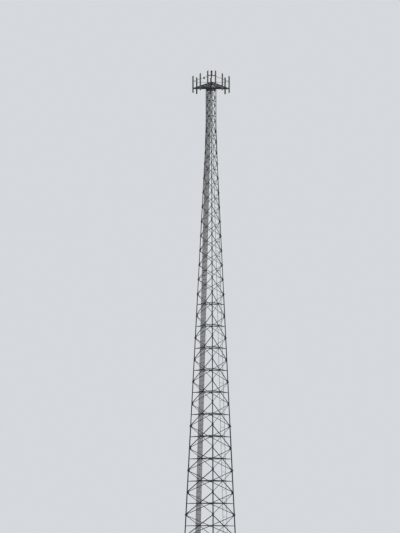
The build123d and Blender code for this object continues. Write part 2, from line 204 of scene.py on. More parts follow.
def face_half(number, rise):
    """Half the leg spacing at a rise up the slope of a section's face."""
    low, high = section_levels(number)
    return (face_width(low) + (face_width(high) - face_width(low)) * rise / slope_length(number)) / 2


def panel_nodes(number):
    """Rises of a section's panel points."""
    count = PANEL_COUNTS[number - 1]
    return [slope_length(number) * step / count for step in range(count + 1)]


def panel_rises(number):
    """Rises between which the diagonals of each panel run."""
    nodes = panel_nodes(number)
    return [(low + NODE_GAP, high - NODE_GAP) for low, high in zip(nodes, nodes[1:])]


def crossing_rise(number, low_rise, high_rise):
    low_half = face_half(number, low_rise)
    return low_rise + (high_rise - low_rise) * low_half / (low_half + face_half(number, high_rise))


def cross_bar_rises(number):
    """Rises of a section's ladder cross bars, which stand on the tips of the bracing."""
    step = math.ceil(CROSS_BAR_LEAST_PITCH / panel_nodes(number)[1])
    lift = (BRACE_WIDTHS[number - 1] - BRACE_THICKNESS) / 2
    return [crossing_rise(number, *rises) + lift for rises in panel_rises(number)[::step]]


def shift(x=0, y=0, z=0):
    return Matrix.Translation((x, y, z))


def turned(degrees, axis="Z"):
    return Matrix.Rotation(math.radians(degrees), 4, axis)


def face_matrix(angle, z, along=0, rise=0, out=0):
    """Place on a tower face: X along it, Y up its slope, Z out of the tower."""
    turn = math.radians(angle)
    lean = FACE_LEAN if z < TAPER_TOP - 1e-6 else 0
    outward = Vector((math.cos(turn), math.sin(turn), 0))
    side = Vector((-math.sin(turn), math.cos(turn), 0))
    normal = outward * math.cos(lean) + Vector((0, 0, math.sin(lean)))
    upward = normal.cross(side)
    place = Matrix((side, upward, normal)).transposed().to_4x4()
    middle = Vector((0, AXIS_Y, z)) + outward * face_inset(z)
    place.translation = middle + (side * along + upward * rise + normal * out)
    return place


def upright_matrix(angle, out, along, z):
    """Place beside the tower's axis: X outward, Y along the face, Z up."""
    return shift(0, AXIS_Y) @ turned(angle) @ shift(out, along, z)


def line_matrix(start, line):
    """Place at a start with Z along a line."""
    return Matrix.Translation(start) @ line.to_track_quat("Z", "Y").to_matrix().to_4x4()


def antenna_places(out, levels):
    """Places at a distance from the tower's axis in line with each antenna, at some heights."""
    return [
        upright_matrix(angle, out, along, level)
        for angle in PLATFORM_ANGLES for along in ANTENNA_OFFSETS for level in levels
    ]


def anchor_places(angle):
    """Places of the four anchors round the foot of a leg."""
    turns = [math.radians(angle + corner) for corner in (45, 135, 225, 315)]
    reaches = [ANCHOR_REACH * Vector((math.cos(turn), math.sin(turn), 0)) for turn in turns]
    return [Matrix.Translation(leg_point(angle, 0) + reach) for reach in reaches]


def linear(code):
    """Linear colour of an sRGB hex code."""
    shares = [int(code[start:start + 2], 16) / 255 for start in (0, 2, 4)]
    return tuple(s / 12.92 if s <= 0.04045 else ((s + 0.055) / 1.055) ** 2.4 for s in shares)


def colour_property(name, description, code):
    return bpy.props.FloatVectorProperty(
        name=name, description=description, subtype="COLOR", min=0, max=1, default=linear(code)
    )


def length_property(name, description, default):
    return bpy.props.FloatProperty(name=name, description=description, unit="LENGTH", default=default)


class MastFinishes(bpy.types.PropertyGroup):
    # Both zinc colours are darker than weathered zinc alone: the patches are weathering, and the overall
    # darkness is painted shade, as of steel seen against the light.
    zinc_dark: colour_property("Zinc, dark", "Weathered patches of the galvanised steel", "1A1E22")
    zinc_light: colour_property("Zinc, light", "Cleaner patches of the galvanised steel", "474D53")
    jacket: colour_property("Feeder jacket", "Black polyethylene of the feeder lines", "1F1D20")
    # The radome grey is darker than the light grey of a real shell; the difference is painted shade, as of a
    # shell seen against the light.
    radome: colour_property("Radome", "Shell of the panel antennas", "52544F")
    powder_coat: colour_property("Powder coat", "Paint of the radio unit and the junction box", "565A5D")
    casting: colour_property("Casting", "Painted aluminium of the beacon's housing", "1A1A1C")
    lens: colour_property("Beacon lens", "Red glass of the beacon", "3C1715")


class MastSizes(bpy.types.PropertyGroup):
    rung_pitch: length_property("Rung pitch", "Spacing of the rungs on the feeder ladder", 0.3048)
    spare_rung_pitch: length_property("Spare rung pitch", "Spacing of the rungs on the empty ladder", 0.6096)
    rung_size: length_property("Rung size", "Legs of the rungs' angle bar", 0.02)
    mesh_pitch: length_property("Mesh pitch", "Spacing of the rods of the deck's mesh, both ways", 0.024)
    mesh_rod: length_property("Mesh rod", "Diameter of the rods of the deck's mesh", 0.004)
    round_sides: bpy.props.IntProperty(
        name="Sides of tubes", description="Flat sides that a round tube is drawn with", min=12, default=28
    )


class MastStage(bpy.types.PropertyGroup):
    backdrop: colour_property("Backdrop", "Pale colour behind the mast", "D5D9DD")
    lamp_strength: bpy.props.FloatProperty(
        name="Key lamp", description="Strength of the soft sun lamp", default=1.3
    )
    sky_strength: bpy.props.FloatProperty(
        name="Sky light", description="Strength of the even light from all round", default=0.6
    )
    lens: bpy.props.FloatProperty(
        name="Lens", description="Focal length of the camera in millimetres", default=146.097
    )
    distance: length_property("Camera distance", "Level distance from the tower's axis", 148.788)
    height: length_property("Camera height", "Height of the camera", 0.7643)


def deselect():
    """Clears the selection, which a new primitive or a join would otherwise take in."""
    if bpy.context.object and bpy.context.object.mode != "OBJECT":
        bpy.ops.object.mode_set(mode="OBJECT")
    bpy.ops.object.select_all(action="DESELECT")


def activate(piece):
    deselect()
    piece.select_set(True)
    bpy.context.view_layer.objects.active = piece


def add_block(size, centre):
    """Box of a size round a centre, with its place in its mesh."""
    deselect()
    bpy.ops.mesh.primitive_cube_add(size=1, location=centre)
    block = bpy.context.object
    block.scale = size
    bpy.ops.object.transform_apply(location=True, rotation=True, scale=True)
    return block


def add_drum(radius, low, high, sides=None):
    """Upright cylinder on the Z axis between two heights."""
    deselect()
    bpy.ops.mesh.primitive_cylinder_add(
        vertices=sides or bpy.context.scene.mast_sizes.round_sides,
        radius=radius, depth=high - low, location=(0, 0, (low + high) / 2),
    )
    bpy.ops.object.transform_apply(location=True, rotation=True, scale=True)
    return bpy.context.object


def add_curve(kind, radius, resolution):
    """Curve with a round section and one empty spline, both of which it returns."""
    deselect()
    bpy.ops.object.add(type="CURVE")
    curve = bpy.context.object.data
    curve.dimensions = "3D"
    curve.bevel_depth = radius
    curve.bevel_resolution = resolution
    return curve, curve.splines.new(kind)


def edit(piece):
    activate(piece)
    bpy.ops.object.mode_set(mode="EDIT")
    bpy.ops.mesh.select_all(action="SELECT")


def choose(test, kind="FACE"):
    """Selects the faces, edges or vertices of the edited mesh that pass a test."""
    bpy.ops.mesh.select_mode(type=kind)
    bpy.ops.mesh.select_all(action="DESELECT")
    mesh = bmesh.from_edit_mesh(bpy.context.edit_object.data)
    for part in {"FACE": mesh.faces, "EDGE": mesh.edges, "VERT": mesh.verts}[kind]:
        if test(part):
            part.select_set(True)
    mesh.select_flush_mode()
    bmesh.update_edit_mesh(bpy.context.edit_object.data)


def extrude(move):
    bpy.ops.mesh.extrude_region_move(TRANSFORM_OT_translate={"value": move})


def cut(*levels, axis=2):
    """Cuts the whole edited mesh across an axis at some levels and keeps all of it."""
    normal = Vector((0, 0, 0))
    normal[axis] = 1
    for level in levels:
        bpy.ops.mesh.select_all(action="SELECT")
        bpy.ops.mesh.bisect(plane_co=normal * level, plane_no=normal)


def scale_ring(level, share):
    """Scales what the edited mesh has at a height towards the Z axis or away from it."""
    choose(lambda vertex: abs(vertex.co.z - level) < 1e-4, "VERT")
    bpy.ops.transform.resize(value=(share, share, 1), center_override=(0, 0, level))


def finish_edit():
    bpy.ops.mesh.select_all(action="SELECT")
    bpy.ops.mesh.normals_make_consistent(inside=False)
    bpy.ops.object.mode_set(mode="OBJECT")


def span(edge, axis):
    """How far an edge reaches along an axis."""
    return abs(edge.verts[0].co[axis] - edge.verts[1].co[axis])


def bevel(piece, test, offset, segments):
    """Bevels the edges of a piece that pass a test."""
    edit(piece)
    choose(test, "EDGE")
    bpy.ops.mesh.bevel(offset=offset, segments=segments, affect="EDGES")
    finish_edit()
    return piece


def soften(piece, width, segments=1, angle=40):
    """Rounds the sharp edges of a piece."""
    activate(piece)
    rounding = piece.modifiers.new("Softened edges", "BEVEL")
    rounding.width = width
    rounding.segments = segments
    rounding.limit_method = "ANGLE"
    rounding.angle_limit = math.radians(angle)
    bpy.ops.object.modifier_apply(modifier=rounding.name)
    return piece


def placed(piece, place):
    """Moves the mesh of a piece to a place."""
    piece.data.transform(place)
    return piece


def join(pieces):
    deselect()
    for piece in pieces:
        piece.select_set(True)
    bpy.context.view_layer.objects.active = pieces[0]
    if len(pieces) > 1:
        bpy.ops.object.join()
    return pieces[0]


def copy_to(source, places):
    """One piece made of copies of a modelled one, each with its own mesh, at their places."""
    copies = []
    for place in places:
        twin = source.copy()
        twin.data = source.data.copy()
        bpy.context.collection.objects.link(twin)
        copies.append(placed(twin, place))
    bpy.data.objects.remove(source)
    return join(copies)


def shade(colour, share=1):
    """Socket value of a colour, made darker or lighter by a share."""
    return (*(min(1, part * share) for part in colour), 1)


def set_node(node, inputs=None, links=None):
    """Gives a node its socket values and its incoming links."""
    for key, value in (inputs or {}).items():
        node.inputs[key].default_value = value
    for key, socket in (links or {}).items():
        node.id_data.links.new(socket, node.inputs[key])
    return node


def add_node(tree, kind, inputs=None, links=None, settings=None):
    """Adds a node with its socket values, its incoming links and its settings."""
    node = tree.nodes.new(kind)
    for key, value in (settings or {}).items():
        setattr(node, key, value)
    return set_node(node, inputs, links)


def material_of(finish):
    """Material named for a finish, whose function lays out its nodes the first time."""
    name = finish.__name__.replace("_", " ").capitalize()
    if name not in bpy.data.materials:
        material = bpy.data.materials.new(name)
        material.use_nodes = True
        tree = material.node_tree
        place = tree.nodes.new("ShaderNodeTexCoord").outputs["Object"]
        finish(tree, place, tree.nodes["Principled BSDF"], bpy.context.scene.mast_finishes)
    return bpy.data.materials[name]


def weathered_and_shaded_zinc(tree, place, shader, colours):
    """Galvanised steel: hot-dip zinc gone matt and a little dark outdoors, darker still as painted shade of
    steel seen against the light, with faint crystals and run-off streaks.
    """
    # Streaks run down the steel, so the pattern is drawn out eight times in height. One is about 80 mm wide.
    drawn = add_node(tree, "ShaderNodeMapping", {"Scale": (1, 1, 0.12)}, {"Vector": place})
    flow = {"Scale": 12, "Detail": 5, "Roughness": 0.6}
    streaks = add_node(tree, "ShaderNodeTexNoise", flow, {"Vector": drawn.outputs[0]})
    # Zinc crystals are 10 to 20 mm across on the real steel, so 8 mm here.
    crystals = add_node(tree, "ShaderNodeTexVoronoi", {"Scale": 125}, {"Vector": place})
    grey = add_node(tree, "ShaderNodeValToRGB", links={"Fac": streaks.outputs["Fac"]})
    stops = ((0.38, colours.zinc_dark), (0.66, colours.zinc_light))
    for stop, (position, colour) in zip(grey.color_ramp.elements, stops):
        stop.position = position
        stop.color = shade(colour)
    tone = add_node(tree, "ShaderNodeRGBToBW", links={"Color": crystals.outputs["Color"]})
    spangle = add_node(
        tree, "ShaderNodeMix", {"Factor": 0.5}, {6: grey.outputs["Color"], 7: tone.outputs[0]},
        {"data_type": "RGBA", "blend_type": "OVERLAY"},
    )
    worn = {"To Min": 0.5, "To Max": 0.72}
    gloss = add_node(tree, "ShaderNodeMapRange", worn, {"Value": streaks.outputs["Fac"]})
    depth = {"Strength": 0.15, "Distance": 0.0004}
    relief = add_node(tree, "ShaderNodeBump", depth, {"Height": crystals.outputs["Distance"]})
    links = {"Base Color": spangle.outputs[2], "Roughness": gloss.outputs[0], "Normal": relief.outputs[0]}
    set_node(shader, {"Metallic": 0.35}, links)


def plated_zinc(tree, place, shader, colours):
    """Bolts, nuts and rods: spun galvanised steel, finer and a little brighter than the bars."""
    dust = add_node(tree, "ShaderNodeTexNoise", {"Scale": 90, "Detail": 3}, {"Vector": place})
    # The bolts take the same zinc colours, so they carry the steel's painted shade too.
    ends = {6: shade(colours.zinc_dark), 7: shade(colours.zinc_light)}
    grey = add_node(tree, "ShaderNodeMix", ends, {"Factor": dust.outputs["Fac"]}, {"data_type": "RGBA"})
    depth = {"Strength": 0.2, "Distance": 0.0003}
    relief = add_node(tree, "ShaderNodeBump", depth, {"Height": dust.outputs["Fac"]})
    links = {"Base Color": grey.outputs[2], "Normal": relief.outputs[0]}
    set_node(shader, {"Metallic": 0.6, "Roughness": 0.45}, links)


def black_polyethylene(tree, place, shader, colours):
    """Extruded black polyethylene: dull sheen, chalky where the sun has worked on it."""
    drawn = add_node(tree, "ShaderNodeMapping", {"Scale": (1, 1, 0.1)}, {"Vector": place})
    chalk = add_node(tree, "ShaderNodeTexNoise", {"Scale": 30, "Detail": 4}, {"Vector": drawn.outputs[0]})
    ends = {6: shade(colours.jacket), 7: shade(colours.jacket, 1.6)}
    black = add_node(tree, "ShaderNodeMix", ends, {"Factor": chalk.outputs["Fac"]}, {"data_type": "RGBA"})
    worn = {"To Min": 0.42, "To Max": 0.65}
    gloss = add_node(tree, "ShaderNodeMapRange", worn, {"Value": chalk.outputs["Fac"]})
    set_node(shader, {"IOR": 1.51}, {"Base Color": black.outputs[2], "Roughness": gloss.outputs[0]})


def radome_plastic(tree, place, shader, colours):
    """Weathered antenna shell, its light grey darkened as painted shade: moulded plastic with rain streaks
    and a fine moulded grain.
    """
    drawn = add_node(tree, "ShaderNodeMapping", {"Scale": (1, 1, 0.08)}, {"Vector": place})
    rain = {"Scale": 35, "Detail": 5, "Roughness": 0.65}
    streaks = add_node(tree, "ShaderNodeTexNoise", rain, {"Vector": drawn.outputs[0]})
    # The moulded grain is about 1 mm on the real shell.
    grain = add_node(tree, "ShaderNodeTexNoise", {"Scale": 1600}, {"Vector": place})
    ends = {6: shade(colours.radome, 0.62), 7: shade(colours.radome)}
    grey = add_node(tree, "ShaderNodeMix", ends, {"Factor": streaks.outputs["Fac"]}, {"data_type": "RGBA"})
    depth = {"Strength": 0.1, "Distance": 0.0002}
    relief = add_node(tree, "ShaderNodeBump", depth, {"Height": grain.outputs["Fac"]})
    links = {"Base Color": grey.outputs[2], "Normal": relief.outputs[0]}
    set_node(shader, {"IOR": 1.5, "Roughness": 0.55}, links)


def powder_coating(tree, place, shader, colours):
    """Grey polyester powder coat: even, with a slight orange-peel surface."""
    peel = add_node(tree, "ShaderNodeTexNoise", {"Scale": 700, "Detail": 1}, {"Vector": place})
    dust = add_node(tree, "ShaderNodeTexNoise", {"Scale": 14, "Detail": 4}, {"Vector": place})
    ends = {6: shade(colours.powder_coat, 0.7), 7: shade(colours.powder_coat)}
    grey = add_node(tree, "ShaderNodeMix", ends, {"Factor": dust.outputs["Fac"]}, {"data_type": "RGBA"})
    depth = {"Strength": 0.15, "Distance": 0.0002}
    relief = add_node(tree, "ShaderNodeBump", depth, {"Height": peel.outputs["Fac"]})
    set_node(shader, {"Roughness": 0.45}, {"Base Color": grey.outputs[2], "Normal": relief.outputs[0]})


def cast_aluminium(tree, place, shader, colours):
    """Sand-cast aluminium under dark paint: a coarse skin that breaks up the gloss."""
    sand = add_node(tree, "ShaderNodeTexNoise", {"Scale": 900, "Detail": 2}, {"Vector": place})
    soot = add_node(tree, "ShaderNodeTexNoise", {"Scale": 25, "Detail": 4}, {"Vector": place})
    ends = {6: shade(colours.casting), 7: shade(colours.casting, 1.8)}
    dark = add_node(tree, "ShaderNodeMix", ends, {"Factor": soot.outputs["Fac"]}, {"data_type": "RGBA"})
    depth = {"Strength": 0.15, "Distance": 0.0003}
    relief = add_node(tree, "ShaderNodeBump", depth, {"Height": sand.outputs["Fac"]})
    set_node(shader, {"Roughness": 0.62}, {"Base Color": dark.outputs[2], "Normal": relief.outputs[0]})


def red_glass(tree, place, shader, colours):
    """Pressed red borosilicate glass, unlit: deep red, with random patches of dust that darken it and dull
    its gloss.
    """
    dust = add_node(tree, "ShaderNodeTexNoise", {"Scale": 40, "Detail": 3}, {"Vector": place})
    ends = {6: shade(colours.lens, 0.6), 7: shade(colours.lens)}
    red = add_node(tree, "ShaderNodeMix", ends, {"Factor": dust.outputs["Fac"]}, {"data_type": "RGBA"})
    dusty = {"To Min": 0.08, "To Max": 0.3}
    gloss = add_node(tree, "ShaderNodeMapRange", dusty, {"Value": dust.outputs["Fac"]})
    links = {"Base Color": red.outputs[2], "Roughness": gloss.outputs[0]}
    set_node(shader, {"IOR": 1.47, "Transmission Weight": 0.45}, links)


def pale_floor(tree, place, shader, colours):
    """Smooth pale screed: matt, with faint wide clouds."""
    backdrop = bpy.context.scene.mast_stage.backdrop
    clouds = add_node(tree, "ShaderNodeTexNoise", {"Scale": 0.4}, {"Vector": place})
    ends = {6: shade(backdrop, 0.97), 7: shade(backdrop)}
    pale = add_node(tree, "ShaderNodeMix", ends, {"Factor": clouds.outputs["Fac"]}, {"data_type": "RGBA"})
    set_node(shader, {"Roughness": 0.9}, {"Base Color": pale.outputs[2]})


FINISH_OF_SLOT = {
    "galvanised_steel": weathered_and_shaded_zinc,
    "deck_mesh": weathered_and_shaded_zinc,
    "feeder_jacket": black_polyethylene,
    "antenna_shell": radome_plastic,
    "unit_housing": powder_coating,
    "beacon_housing": cast_aluminium,
    "beacon_lens": red_glass,
}


def finish_piece(piece, name, slot="galvanised_steel", replaced=None, finish=None, angle=35):
    """Names a piece, gives it its slot's finish or another one, and fixes it to the frame."""
    activate(piece)
    piece.name = name
    piece.data.name = name
    bpy.ops.object.shade_smooth_by_angle(angle=math.radians(angle))
    piece.data.materials.clear()
    piece.data.materials.append(material_of(finish or FINISH_OF_SLOT[slot]))
    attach(piece, "root")
    if replaced:
        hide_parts(replaced)


class MAST_OT_steelwork(bpy.types.Operator):
    """Give the frame's own bars, plates and channels their finish"""

    bl_idname = "mast.steelwork"
    bl_label = "Steelwork"

    def execute(self, context):
        slots = {row["node"]: row["material_slot"] for row in frame["record"]["subparts"]}
        for name, node in frame["nodes"].items():
            node.data.materials.clear()
            node.data.materials.append(material_of(FINISH_OF_SLOT[slots[name]]))
        return {"FINISHED"}


def drill_anchor_holes(plate):
    """Cuts the four anchor holes of the front leg's base plate."""
    drill = copy_to(add_drum(ANCHOR_HOLE_RADIUS, -0.01, 0.03, 24), anchor_places(-90))
    activate(plate)
    holes = plate.modifiers.new("Anchor holes", "BOOLEAN")
    holes.object = drill
    holes.solver = "EXACT"
    bpy.ops.object.modifier_apply(modifier=holes.name)
    bpy.data.objects.remove(drill)


def add_leg(number):
    """Front leg of a section: a tube that flares into its welds, between two square flanges."""
    foot = leg_point(-90, section_levels(number)[0])
    line = leg_point(-90, joint_level(number)) - foot
    radius = LEG_DIAMETERS[number - 1] / 2
    lower_thickness = BASE_THICKNESS if number == 1 else FLANGE_THICKNESS
    lower_side = BASE_SIDE if number == 1 else FLANGE_SIDES[number - 2]
    upper_side = FLANGE_SIDES[number - 1]
    ends = (TUBE_INSET, line.length - TUBE_INSET)
    tube = add_drum(radius, *ends)
    edit(tube)
    cut(lower_thickness + LEG_WELD, line.length - FLANGE_THICKNESS - LEG_WELD)
    for end in ends:
        scale_ring(end, 1 + 2 * LEG_WELD / radius)
    finish_edit()
    placed(tube, line_matrix(foot, line))
    lower = add_block((lower_side, lower_side, lower_thickness), foot + Vector((0, 0, lower_thickness / 2)))
    upper = add_block(
        (upper_side, upper_side, FLANGE_THICKNESS), foot + line - Vector((0, 0, FLANGE_THICKNESS / 2))
    )
    for flange in (lower, upper):
        bevel(flange, lambda edge: span(edge, 2) > 0.005, FLANGE_CORNER, 3)
    if number == 1:
        drill_anchor_holes(lower)
    return join([tube, soften(lower, 0.0012), soften(upper, 0.0012)])


class MAST_OT_legs(bpy.types.Operator):
    """Model the tubular legs of each section with their welded flanges"""

    bl_idname = "mast.legs"
    bl_label = "Legs"

    def execute(self, context):
        for number in SECTIONS:
            places = [shift(0, AXIS_Y) @ turned(angle + 90) @ shift(0, -AXIS_Y) for angle in LEG_ANGLES]
            legs = copy_to(add_leg(number), places)
            finish_piece(legs, f"leg_tubes_{number:02d}", replaced=f"section_{number:02d}_legs")
        return {"FINISHED"}


def add_hexagon(across, height, rod_radius=0, rod_length=0):
    """Bolt head or nut with a chamfered top on the origin, and the end of a rod that stands out of it."""
    hexagon = add_drum(across / math.sqrt(3), 0, height, 6)
    edit(hexagon)
    choose(lambda face: face.normal.z > 0.9)
    bpy.ops.mesh.inset(thickness=across * 0.07, depth=height * 0.12)
    if rod_length:
        bpy.ops.mesh.inset(thickness=across * 0.43 - rod_radius, depth=0)
        extrude((0, 0, rod_length))
        bpy.ops.mesh.inset(thickness=rod_radius * 0.2, depth=rod_radius * 0.2)
    finish_edit()
    return hexagon


def add_bolt(size, top, bottom):
    """Bolt along Z that clamps from bottom to top: its head above, its nut and thread end below."""
    across = size * 1.55
    head = placed(add_hexagon(across, size * 0.64), shift(z=top))
    nut = add_hexagon(across, size * 0.8, size / 2, size * 0.35)
    return join([head, placed(nut, shift(z=bottom) @ turned(180, "X"))])


def flange_places(number):
    """Bolt places on the joint above a section, in the corners of the square flanges."""
    level = joint_level(number)
    reach = FLANGE_SIDES[number - 1] * FLANGE_BOLT_REACH
    return [
        Matrix.Translation(leg_point(angle, level)) @ turned(angle) @ shift(reach * x, reach * y)
        for angle in LEG_ANGLES for x in (-1, 1) for y in (-1, 1)
    ]


class MAST_OT_flange_bolts(bpy.types.Operator):
    """Model the bolts of the flange joints and of the caps on the legs"""

    bl_idname = "mast.flange_bolts"
    bl_label = "Flange bolts"

    def execute(self, context):
        bolts = []
        for number in SECTIONS[:-1]:
            size = FLANGE_SIDES[number - 1] * FLANGE_BOLT_SHARE
            bolts.append(copy_to(add_bolt(size, FLANGE_THICKNESS, -FLANGE_THICKNESS), flange_places(number)))
        places = flange_places(SECTIONS[-1])
        # The front leg carries the foot of the beacon's post, the other two carry thinner caps.
        for thickness, chosen in ((POST_FOOT_THICKNESS, places[:4]), (CAP_THICKNESS, places[4:])):
            bolts.append(copy_to(add_bolt(CAP_BOLT_SIZE, thickness, -FLANGE_THICKNESS), chosen))
        finish_piece(join(bolts), "flange_bolts", finish=plated_zinc)
        return {"FINISHED"}


def add_flange_rib(leg_radius, reach):
    """Upright rib on a flange, from inside the leg's wall out to the flange's edge, narrower at its top."""
    inner = leg_radius * 0.8
    rib = add_block((reach - inner, RIB_THICKNESS, RIB_HEIGHT), ((reach + inner) / 2, 0, RIB_HEIGHT / 2))
    edit(rib)
    choose(lambda face: face.normal.z > 0.9)
    share = ((leg_radius + reach) / 2 - inner) / (reach - inner)
    bpy.ops.transform.resize(value=(share, 1, 1), center_override=(inner, 0, RIB_HEIGHT))
    finish_edit()
    return soften(rib, 0.0006)


class MAST_OT_flange_ribs(bpy.types.Operator):
    """Model the ribs that stiffen the flanges of each joint, outside the leg and on both sides of it"""

    bl_idname = "mast.flange_ribs"
    bl_label = "Flange ribs"

    def execute(self, context):
        ribs = []
        for number in SECTIONS[:-1]:
            for leg, tip in ((number, 180), (number + 1, 0)):
                places = [
                    Matrix.Translation(leg_point(angle, joint_level(number))) @ turned(angle + side)
                    @ turned(tip, "X") @ shift(z=FLANGE_THICKNESS - 0.001)
                    for angle in LEG_ANGLES for side in (-90, 0, 90)
                ]
                rib = add_flange_rib(LEG_DIAMETERS[leg - 1] / 2, FLANGE_SIDES[number - 1] / 2 - 0.003)
                ribs.append(copy_to(rib, places))
        finish_piece(join(ribs), "flange_ribs")
        return {"FINISHED"}


class MAST_OT_anchor_rods(bpy.types.Operator):
    """Model the anchor rods that stand up through the base plates, with their washers and double nuts"""

    bl_idname = "mast.anchor_rods"
    bl_label = "Anchor rods"

    def execute(self, context):
        washer_top = BASE_THICKNESS + 0.0025
        pieces = [
            soften(add_drum(ANCHOR_ROD_RADIUS, 0, ANCHOR_ROD_HEIGHT), 0.001),
            soften(add_drum(ANCHOR_WASHER_RADIUS, BASE_THICKNESS, washer_top), 0.0004),
        ]
        for height, level in ((0.01, washer_top), (0.008, BASE_THICKNESS + 0.013)):
            pieces.append(placed(add_hexagon(ANCHOR_NUT_WIDTH, height), shift(z=level)))
        places = [place for angle in LEG_ANGLES for place in anchor_places(angle)]
        finish_piece(copy_to(join(pieces), places), "anchor_rods", finish=plated_zinc)
        return {"FINISHED"}


def diagonal_ends(number):
    """Ends of a section's diagonals: the point, the way inwards, and 1 outside the face or -1 inside it."""
    ends = []
    for low_rise, high_rise in panel_rises(number):
        for side in (1, -1):
            start = Vector((-face_half(number, low_rise) * side, low_rise))
            end = Vector((face_half(number, high_rise) * side, high_rise))
            run = (end - start).normalized()
            ends += [(start, run, side), (end, -run, side)]
    return ends


def bolt_place(angle, number, point, side):
    """Place of a bolt in a face, its head outwards or, for a side of -1, inwards."""
    place = face_matrix(angle, section_levels(number)[0], point.x, point.y)
    return place if side > 0 else place @ turned(180, "Y")


class MAST_OT_bracing_bolts(bpy.types.Operator):
    """Model the bolts that hold the crossed angles to the gussets and to each other"""

    bl_idname = "mast.bracing_bolts"
    bl_label = "Bracing bolts"

    def execute(self, context):
        bolts = []
        for number in SECTIONS:
            bolted = number <= BOLTED_SECTIONS
            half = GUSSET_HALF if bolted else 0
            width = BRACE_WIDTHS[number - 1]
            at_legs = []
            at_crossings = []
            for angle in FACE_ANGLES:
                for point, run, side in diagonal_ends(number):
                    for step in END_BOLT_STEPS if bolted else ():
                        along = (LEG_DIAMETERS[number - 1] / 2 + step * width) / abs(run.x)
                        at_legs.append(bolt_place(angle, number, point + run * along, side))
                for rises in panel_rises(number):
                    point = Vector((0, crossing_rise(number, *rises)))
                    at_crossings.append(bolt_place(angle, number, point, 1))
            outer = half + BRACE_THICKNESS
            for places, bottom in ((at_legs, -half), (at_crossings, -outer)):
                if places:
                    bolts.append(copy_to(add_bolt(width * BOLT_SHARE, outer, bottom), places))
        finish_piece(join(bolts), "bracing_bolts", finish=plated_zinc)
        return {"FINISHED"}


def add_crossing_plate(length, height, snip):
    """Plate with cut corners that lies in a face, round a crossing."""
    plate = add_block((length, height, CROSSING_THICKNESS), (0, 0, 0))
    return soften(bevel(plate, lambda edge: span(edge, 2) > CROSSING_THICKNESS / 2, snip, 1), 0.0006)


class MAST_OT_crossing_plates(bpy.types.Operator):
    """Model the plates between the crossed angles of the lower sections, and the bolts round each"""

    bl_idname = "mast.crossing_plates"
    bl_label = "Crossing plates"

    def execute(self, context):
        plates = []
        bolts = []
        for number in SECTIONS[:BOLTED_SECTIONS]:
            width = BRACE_WIDTHS[number - 1]
            height = CROSSING_HEIGHT * width
            reach = Vector((CROSSING_BOLT_REACH * width, 0))
            middles = []
            on_angles = []
            on_bars = []
            for angle in FACE_ANGLES:
                for low, high in panel_rises(number):
                    middle = Vector((0, crossing_rise(number, low, high)))
                    run = Vector((face_half(number, low) + face_half(number, high), high - low))
                    run *= (height / 2 - CROSSING_BOLT_MARGIN * width) / run.y
                    mirrored = Vector((-run.x, run.y))
                    middles.append(bolt_place(angle, number, middle, 1))
                    for way in (-1, 1):
                        on_angles.append(bolt_place(angle, number, middle + run * way, 1))
                        on_angles.append(bolt_place(angle, number, middle + mirrored * way, -1))
                        on_bars.append(bolt_place(angle, number, middle + reach * way, 1))
            plate = add_crossing_plate(CROSSING_LENGTH * width, height, CROSSING_SNIP * width)
            plates.append(copy_to(plate, middles))
            size = width * BOLT_SHARE
            angle_bolt = add_bolt(size, GUSSET_HALF + BRACE_THICKNESS, -CROSSING_THICKNESS / 2)
            bolts.append(copy_to(angle_bolt, on_angles))
            bolts.append(copy_to(add_bolt(size, GUSSET_HALF, -GUSSET_HALF), on_bars))
        finish_piece(join(plates), "crossing_plates")
        finish_piece(join(bolts), "crossing_bolts", finish=plated_zinc)
        return {"FINISHED"}


def add_knot_plate(length, height, snip):
    """Plate that runs from a leg's middle into the face, lower at its free end."""
    plate = add_block((length, height, 0.005), (length / 2, 0, 0))
    edit(plate)
    choose(lambda face: face.normal.x > 0.9)
    bpy.ops.transform.resize(value=(1, 1 - 2 * snip / height, 1), center_override=(length, 0, 0))
    finish_edit()
    return soften(plate, 0.0006)


class MAST_OT_knot_plates(bpy.types.Operator):
    """Model the small welded plates at the panel points of the upper sections"""

    bl_idname = "mast.knot_plates"
    bl_label = "Knot plates"

    def execute(self, context):
        plates = []
        clear = FLANGE_THICKNESS + 0.002
        for number in SECTIONS[BOLTED_SECTIONS:]:
            low = section_levels(number)[0]
            width = BRACE_WIDTHS[number - 1]
            length_share, height_share = (2.3, 1.2) if number >= TAPERED_SECTIONS else (1.9, 0.75)
            length = LEG_DIAMETERS[number - 1] / 2 + length_share * width
            height = 2 * (NODE_GAP + height_share * width)
            last = PANEL_COUNTS[number - 1]
            middle = []
            ends = []
            for angle in FACE_ANGLES:
                for side in (-1, 1):
                    for step, rise in enumerate(panel_nodes(number)):
                        # Only half a plate fits beside a flange, so it moves clear of it.
                        is_end = step == 0 or (step == last and number <= TAPERED_SECTIONS)
                        if is_end:
                            rise += (clear + height / 2) / 2 * (1 if step == 0 else -1)
                        place = face_matrix(angle, low, side * face_half(number, rise), rise)
                        (ends if is_end else middle).append(place if side < 0 else place @ turned(180, "Y"))
            plates.append(copy_to(add_knot_plate(length, height, width * 0.5), middle))
            plates.append(copy_to(add_knot_plate(length, height / 2 - clear, width * 0.3), ends))
        finish_piece(join(plates), "knot_plates")
        return {"FINISHED"}


